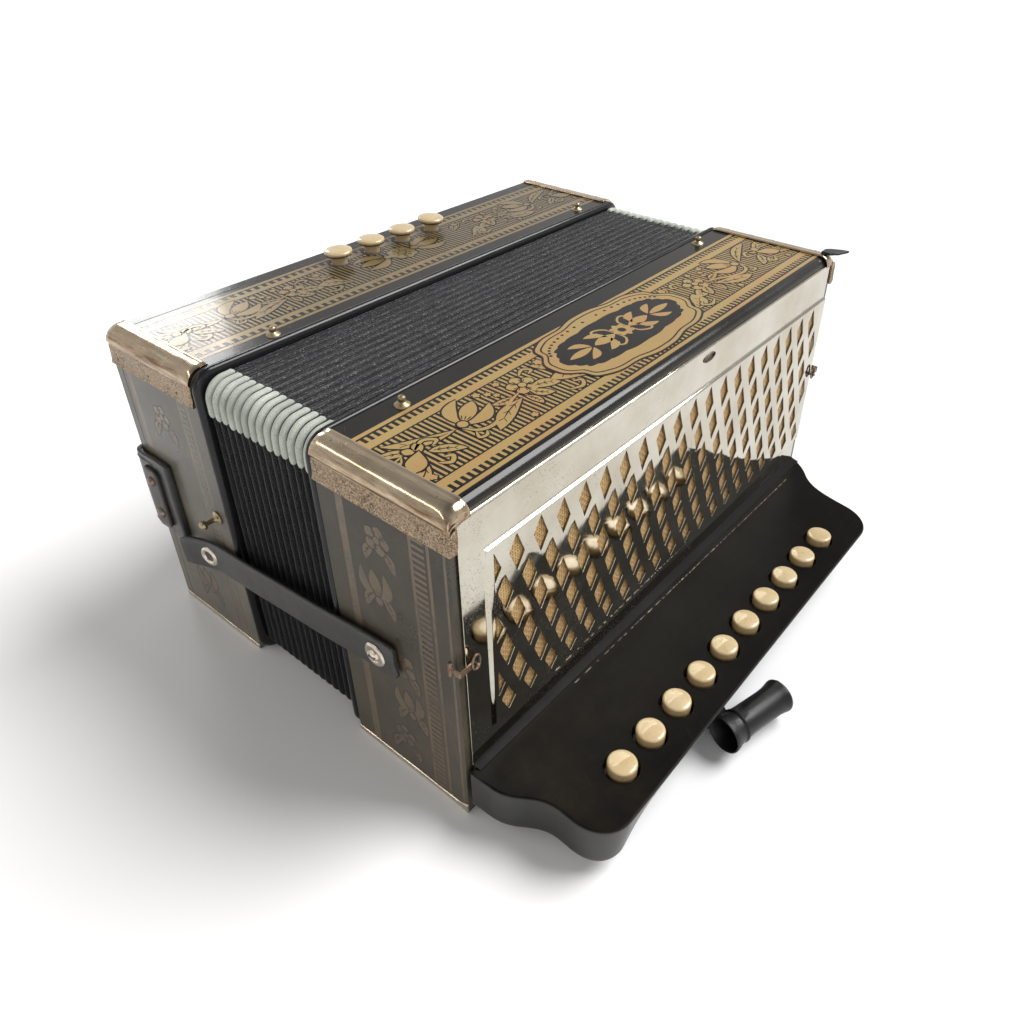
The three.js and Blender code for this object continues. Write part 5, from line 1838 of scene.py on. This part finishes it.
def add_thumb_loop():
    """A leather thumb tube, flared at both ends, with a seam band and its tab under the shelf."""
    angle = math.radians(14)
    axis = Vector((math.sin(angle), math.cos(angle), 0))
    side = Vector((math.cos(angle), -math.sin(angle), 0))
    centre = Vector((267.6, 106.5, 10.4))
    outside = [(-18.0, 8.2), (-17.9, 8.5), (-17.4, 8.6), (-16.4, 8.5), (-14.6, 7.9), (-12.4, 7.35),
               (-10.6, 7.15),
               (-10.2, 7.6), (-9.2, 7.65), (-8.8, 7.1), (-4, 6.8), (2, 6.7), (8, 6.7), (12.5, 6.85),
               (15.2, 7.25), (16.8, 7.65), (17.6, 7.7), (17.9, 7.5), (18.0, 7.1)]
    inside = [(17.8, 6.5), (16.0, 5.9), (12, 5.5), (0, 5.4), (-9, 5.5), (-13.5, 6.1), (-16.4, 7.2),
              (-17.8, 7.9)]
    bm = bmesh.new()
    rings = []
    for along, radius in outside + inside:
        ring = []
        for i in range(40):
            turn = 2 * math.pi * i / 40
            fold = 0.18 * math.exp(-((turn - 1.9) ** 2) / 0.01)
            r = radius + fold + 0.07 * math.sin(3 * turn + along * 0.3)
            spot = centre + axis * along + side * r * math.cos(turn) + Vector((0, 0, r * math.sin(turn)))
            ring.append(spot)
        rings.append(ring)
    loft(bm, rings, closed_path=True)
    tab = [(238, 91), (254, 91), (258, 94), (258, 103), (254, 106), (238, 106)]
    prism(bm, tab, lambda x, y, level: (x, y, level), 5.4, 7.6)
    link_piece("thumb_loop_tube", bm, [LOOP_HIDE], "treble", ("thumb_loop",), crease=50)


# ------------------------------------------------------------------ small parts on the treble box
BUTTON_HOLE = 7.2
POCKET_TOP = 22.0
POCKET_FRONT = 254.6
POCKET_FOOT = 249.1
SHELF_UNDERCUT = 9.4


def bezier(p0, p1, p2, p3, steps):
    """Points on a cubic curve, its first point left out."""
    points = []
    for i in range(1, steps + 1):
        t = i / steps
        weights = ((1 - t) ** 3, 3 * t * (1 - t) ** 2, 3 * t * t * (1 - t), t ** 3)
        points.append(tuple(sum(w * p[k] for w, p in zip(weights, (p0, p1, p2, p3))) for k in (0, 1)))
    return points


def shelf_outline(first, last):
    """The shelf's plan, round from its back near corner; it ends with the pocket's two back points."""
    back = SHELF_X0 - BASS_X0
    path = [(back, 0.0), (211.0, 0.0)]
    path += bezier((211, 0), (224, 0), (226, 9.4), (238, 9.2), 12) + [(245.0, 8.8)]
    path += bezier((245, 8.8), (254, 8.8), (261, 14), (261, 23), 12)
    path += [(261.0, 23 + 211.0 * i / 8) for i in range(1, 9)]
    path += bezier((261, 234), (261, 243), (254, 250), (245, 251.6), 12)
    path += bezier((245, 251.6), (231, 254.5), (222, 256), (214, 267), 12)
    path += bezier((214, 267), (210.7, 271), (206.8, 274), (back, 276), 6)
    return path + [(back, last), (back, first)]


def shelf_ring(outline, z):
    """The plan moved in at height z: a rounded top edge, and a front that slopes back below."""
    made = []
    count = len(outline)
    for i, here in enumerate(outline):
        before, after = Vector(outline[i - 1]), Vector(outline[(i + 1) % count])
        along = (after - before).normalized()
        out = Vector((along.y, -along.x))
        free = max(0.0, min(1.0, (here[0] - 203.5) / 3))
        front = max(0.0, min(1.0, (here[0] - 237) / 22)) ** 1.3 * max(0.0, min(1.0, (here[1] - 10) / 52))
        lip = 0.9 - math.sqrt(max(0.0, 0.81 - max(0.0, z - 26.3) ** 2))
        slope = SHELF_UNDERCUT * max(0.0, (26.0 - z) / 18.0) ** 1.12
        foot = 0.5 * max(0.0, (8.7 - z) / 0.7) ** 2
        move = out * ((lip + foot) * free + slope * front)
        made.append((here[0] - move.x, here[1] - move.y, z))
    return made


def add_shelf():
    """The keyboard shelf: ten round holes, a pocket open behind and below, an undercut front."""
    keys = key_places()
    first, last = keys[0][1] - 10.0, keys[-1][1] + 10.0
    outline = shelf_outline(first, last)
    levels = [27.2, 27.12, 26.9, 26.6, 26.3, 25.2, POCKET_TOP, 19.0, 16.0, 13.0, 10.6, 8.7, 8.3, 8.0]
    bm = bmesh.new()
    rows = [[bm.verts.new(spot) for spot in shelf_ring(outline, z)] for z in levels]
    count = len(outline)
    for upper, lower, level in zip(rows, rows[1:], levels):
        for j in range(count):
            if j == count - 2 and level <= POCKET_TOP:
                continue
            k = (j + 1) % count
            bm.faces.new((upper[j], upper[k], lower[k], lower[j]))
    ring = lambda x, y, r: [(x + r * math.cos(math.pi * i / 18), y + r * math.sin(math.pi * i / 18))
                            for i in range(36)]
    top = [(v.co.x, v.co.y) for v in rows[0]]
    rims = flat_with_holes(bm, top, [ring(x, y, BUTTON_HOLE + 0.3) for x, y, _ in keys],
                           lambda x, y: (x, y, levels[0]))[1:]
    back = outline[-1][0]
    ceiling = [(back, first), (POCKET_FRONT, first), (POCKET_FRONT, last), (back, last)]
    feet = flat_with_holes(bm, ceiling, [ring(x, y, BUTTON_HOLE) for x, y, _ in keys],
                           lambda x, y: (x, y, POCKET_TOP))
    for rim, foot in zip(rims, feet[1:]):
        throat = [bm.verts.new((v.co.x, v.co.y, levels[0] - 0.35)) for v in foot]
        for high, low in ((rim, throat), (throat, foot)):
            for j in range(len(rim)):
                k = (j + 1) % len(rim)
                bm.faces.new((high[j], high[k], low[k], low[j]))
    low_ring = [(v.co.x, v.co.y) for v in rows[-1]]
    notch = [(POCKET_FOOT, last), (POCKET_FOOT, first)]
    flat_with_holes(bm, low_ring[:-1] + notch + low_ring[-1:], [], lambda x, y: (x, y, levels[-1]))
    for j, y in ((-2, last), (-1, first)):
        column = [row[j] for row, level in zip(rows, levels) if level <= POCKET_TOP]
        corners = [bm.verts.new((POCKET_FOOT, y, levels[-1])),
                   bm.verts.new((POCKET_FRONT, y, POCKET_TOP))]
        bm.faces.new(column + corners)
    bm.faces.new([bm.verts.new(p) for p in ((POCKET_FOOT, first, levels[-1]),
                                            (POCKET_FOOT, last, levels[-1]),
                                            (POCKET_FRONT, last, POCKET_TOP), (POCKET_FRONT, first,
                                                                               POCKET_TOP))])
    bmesh.ops.remove_doubles(bm, verts=bm.verts, dist=1e-3)
    piece = link_piece("keyboard_shelf_board", bm, [BOARD], "treble",
                       ("keyboard_shelf",), crease=32)
    piece.modifiers.new("shading", "WEIGHTED_NORMAL").keep_sharp = True


def add_shelf_details():
    """The fillet strip where the shelf meets the grille, and a worn line scored beside it."""
    bm = bmesh.new()
    rings = []
    for i in range(41):
        y = 3.2 + 271 * i / 40
        reach = 2.2 + 1.6 * i / 40
        rings.append([(201.1, y, 26.0), (202.2, y, 26.0), (202.4, y, 27.1), (202.4 + reach, y, 27.1),
                      (202.3 + reach, y, 27.5), (202.4 + reach * 0.5, y, 27.95), (201.9, y, 28.7),
                      (201.1, y, 28.9)])
    loft(bm, rings)
    link_piece("shelf_fillet", bm, [BOARD], "treble", crease=40)
    bm = bmesh.new()
    chance = random.Random(5)
    y = 60.0
    while y < 252:
        run = chance.uniform(1.2, 5.0)
        x = 206.0 + (y - 60) * 0.014
        width = chance.uniform(0.2, 0.5)
        outline = [(x, y), (x + width, y + run * 0.2), (x + width * 0.8, y + run),
                   (x - 0.05, y + run * 0.9)]
        prism(bm, outline, lambda a, b, level: (a, b, level), 26.9, 27.24)
        y += run + chance.uniform(0.5, 4.2 if y < 120 else 1.6)
    link_piece("shelf_wear_line", bm, [RUBBED], "treble", crease=40)


def add_hook_parts():
    """The grille's two end hooks: a pivot barrel, a thin band round the corner, a rusty wire clasp."""
    for side, flip, _ in ENDS:
        bm = bmesh.new()
        low = box_mm(f"grille_hook_{side}")[0]
        pivot_x, pivot_y = low[0] - BASS_X0 + 1.3, -2.0
        barrel = [(0, 3.4), (0.7, 3.4), (0.95, 3.1), (0.95, -3.1), (0.7, -3.4), (0, -3.4)]
        turned(bm, barrel, (pivot_x, flip(pivot_y), 84), "Z", 20)
        band = [(pivot_x, -2.3), (202.9, -2.3), (203.2, -2.0), (203.2, 5.2), (202.75, 5.2),
                (202.75, -1.6), (202.5, -1.85), (pivot_x, -1.85)]
        prism(bm, band, lambda x, y, level: (x, flip(y), level), 82.6, 85.4)
        link_piece(f"grille_hook_{side}_band", bm, [RUSTY_WIRE], f"hook_{side}",
                   (f"grille_hook_{side}",), crease=40)
        bm = bmesh.new()
        rings = []
        for i in range(20):
            t = 2 * math.pi * i / 20
            ring = []
            for q in range(8):
                p = 2 * math.pi * q / 8
                reach, tall = 1.9 + 0.45 * math.cos(p), 3.4 + 0.45 * math.cos(p)
                ring.append((203.7 + 0.45 * math.sin(p), flip(5.4 + reach * math.cos(t)),
                             85.2 + tall * math.sin(t)))
            rings.append(ring)
        loft(bm, rings, closed_path=True)
        knob = [(0, 1.2), (0.6, 1.1), (0.95, 0.6), (0.9, 0.0), (0.6, -0.3), (0.6, -1.5), (0, -1.5)]
        turned(bm, knob, (204.0, flip(5.4), 84), "X", 18)
        link_piece(f"grille_clasp_{side}", bm, [RUSTY_WIRE], f"hook_{side}", crease=50)


def add_corner_tab():
    """The black pointed tab that stands out at the far top front corner."""
    bm = bmesh.new()
    outline = [(195.5, 273.5), (200.0, 273.5), (203.6, 277.0), (206.4, 283.6), (203.4, 283.0),
               (197.6, 280.6), (195.5, 278.5)]
    prism(bm, outline, lambda x, y, level: (x, y, level), 150.6, 152.0)
    piece = link_piece("corner_tab", bm, [FRAME_GLOSS], "treble", crease=35)
    round_edges(piece, 0.4)


# ------------------------------------------------------------------ the whole object, piece by piece
finish_frame()
print_treble_top()
print_bass_top()
print_ends()
print_bass_plate()
add_mouldings()
add_bottom_trims()
add_grille()
add_grille_lip()
add_grille_cloth()
add_treble_buttons()
add_bass_buttons()
add_air_button()
add_bellows()
add_gussets()
add_bellows_frames()
add_bellows_straps()
add_hand_strap()
add_hand_plates()
add_studs()
add_top_pins()
add_thumb_loop()
add_shelf()
add_shelf_details()
add_hook_parts()
add_corner_tab()
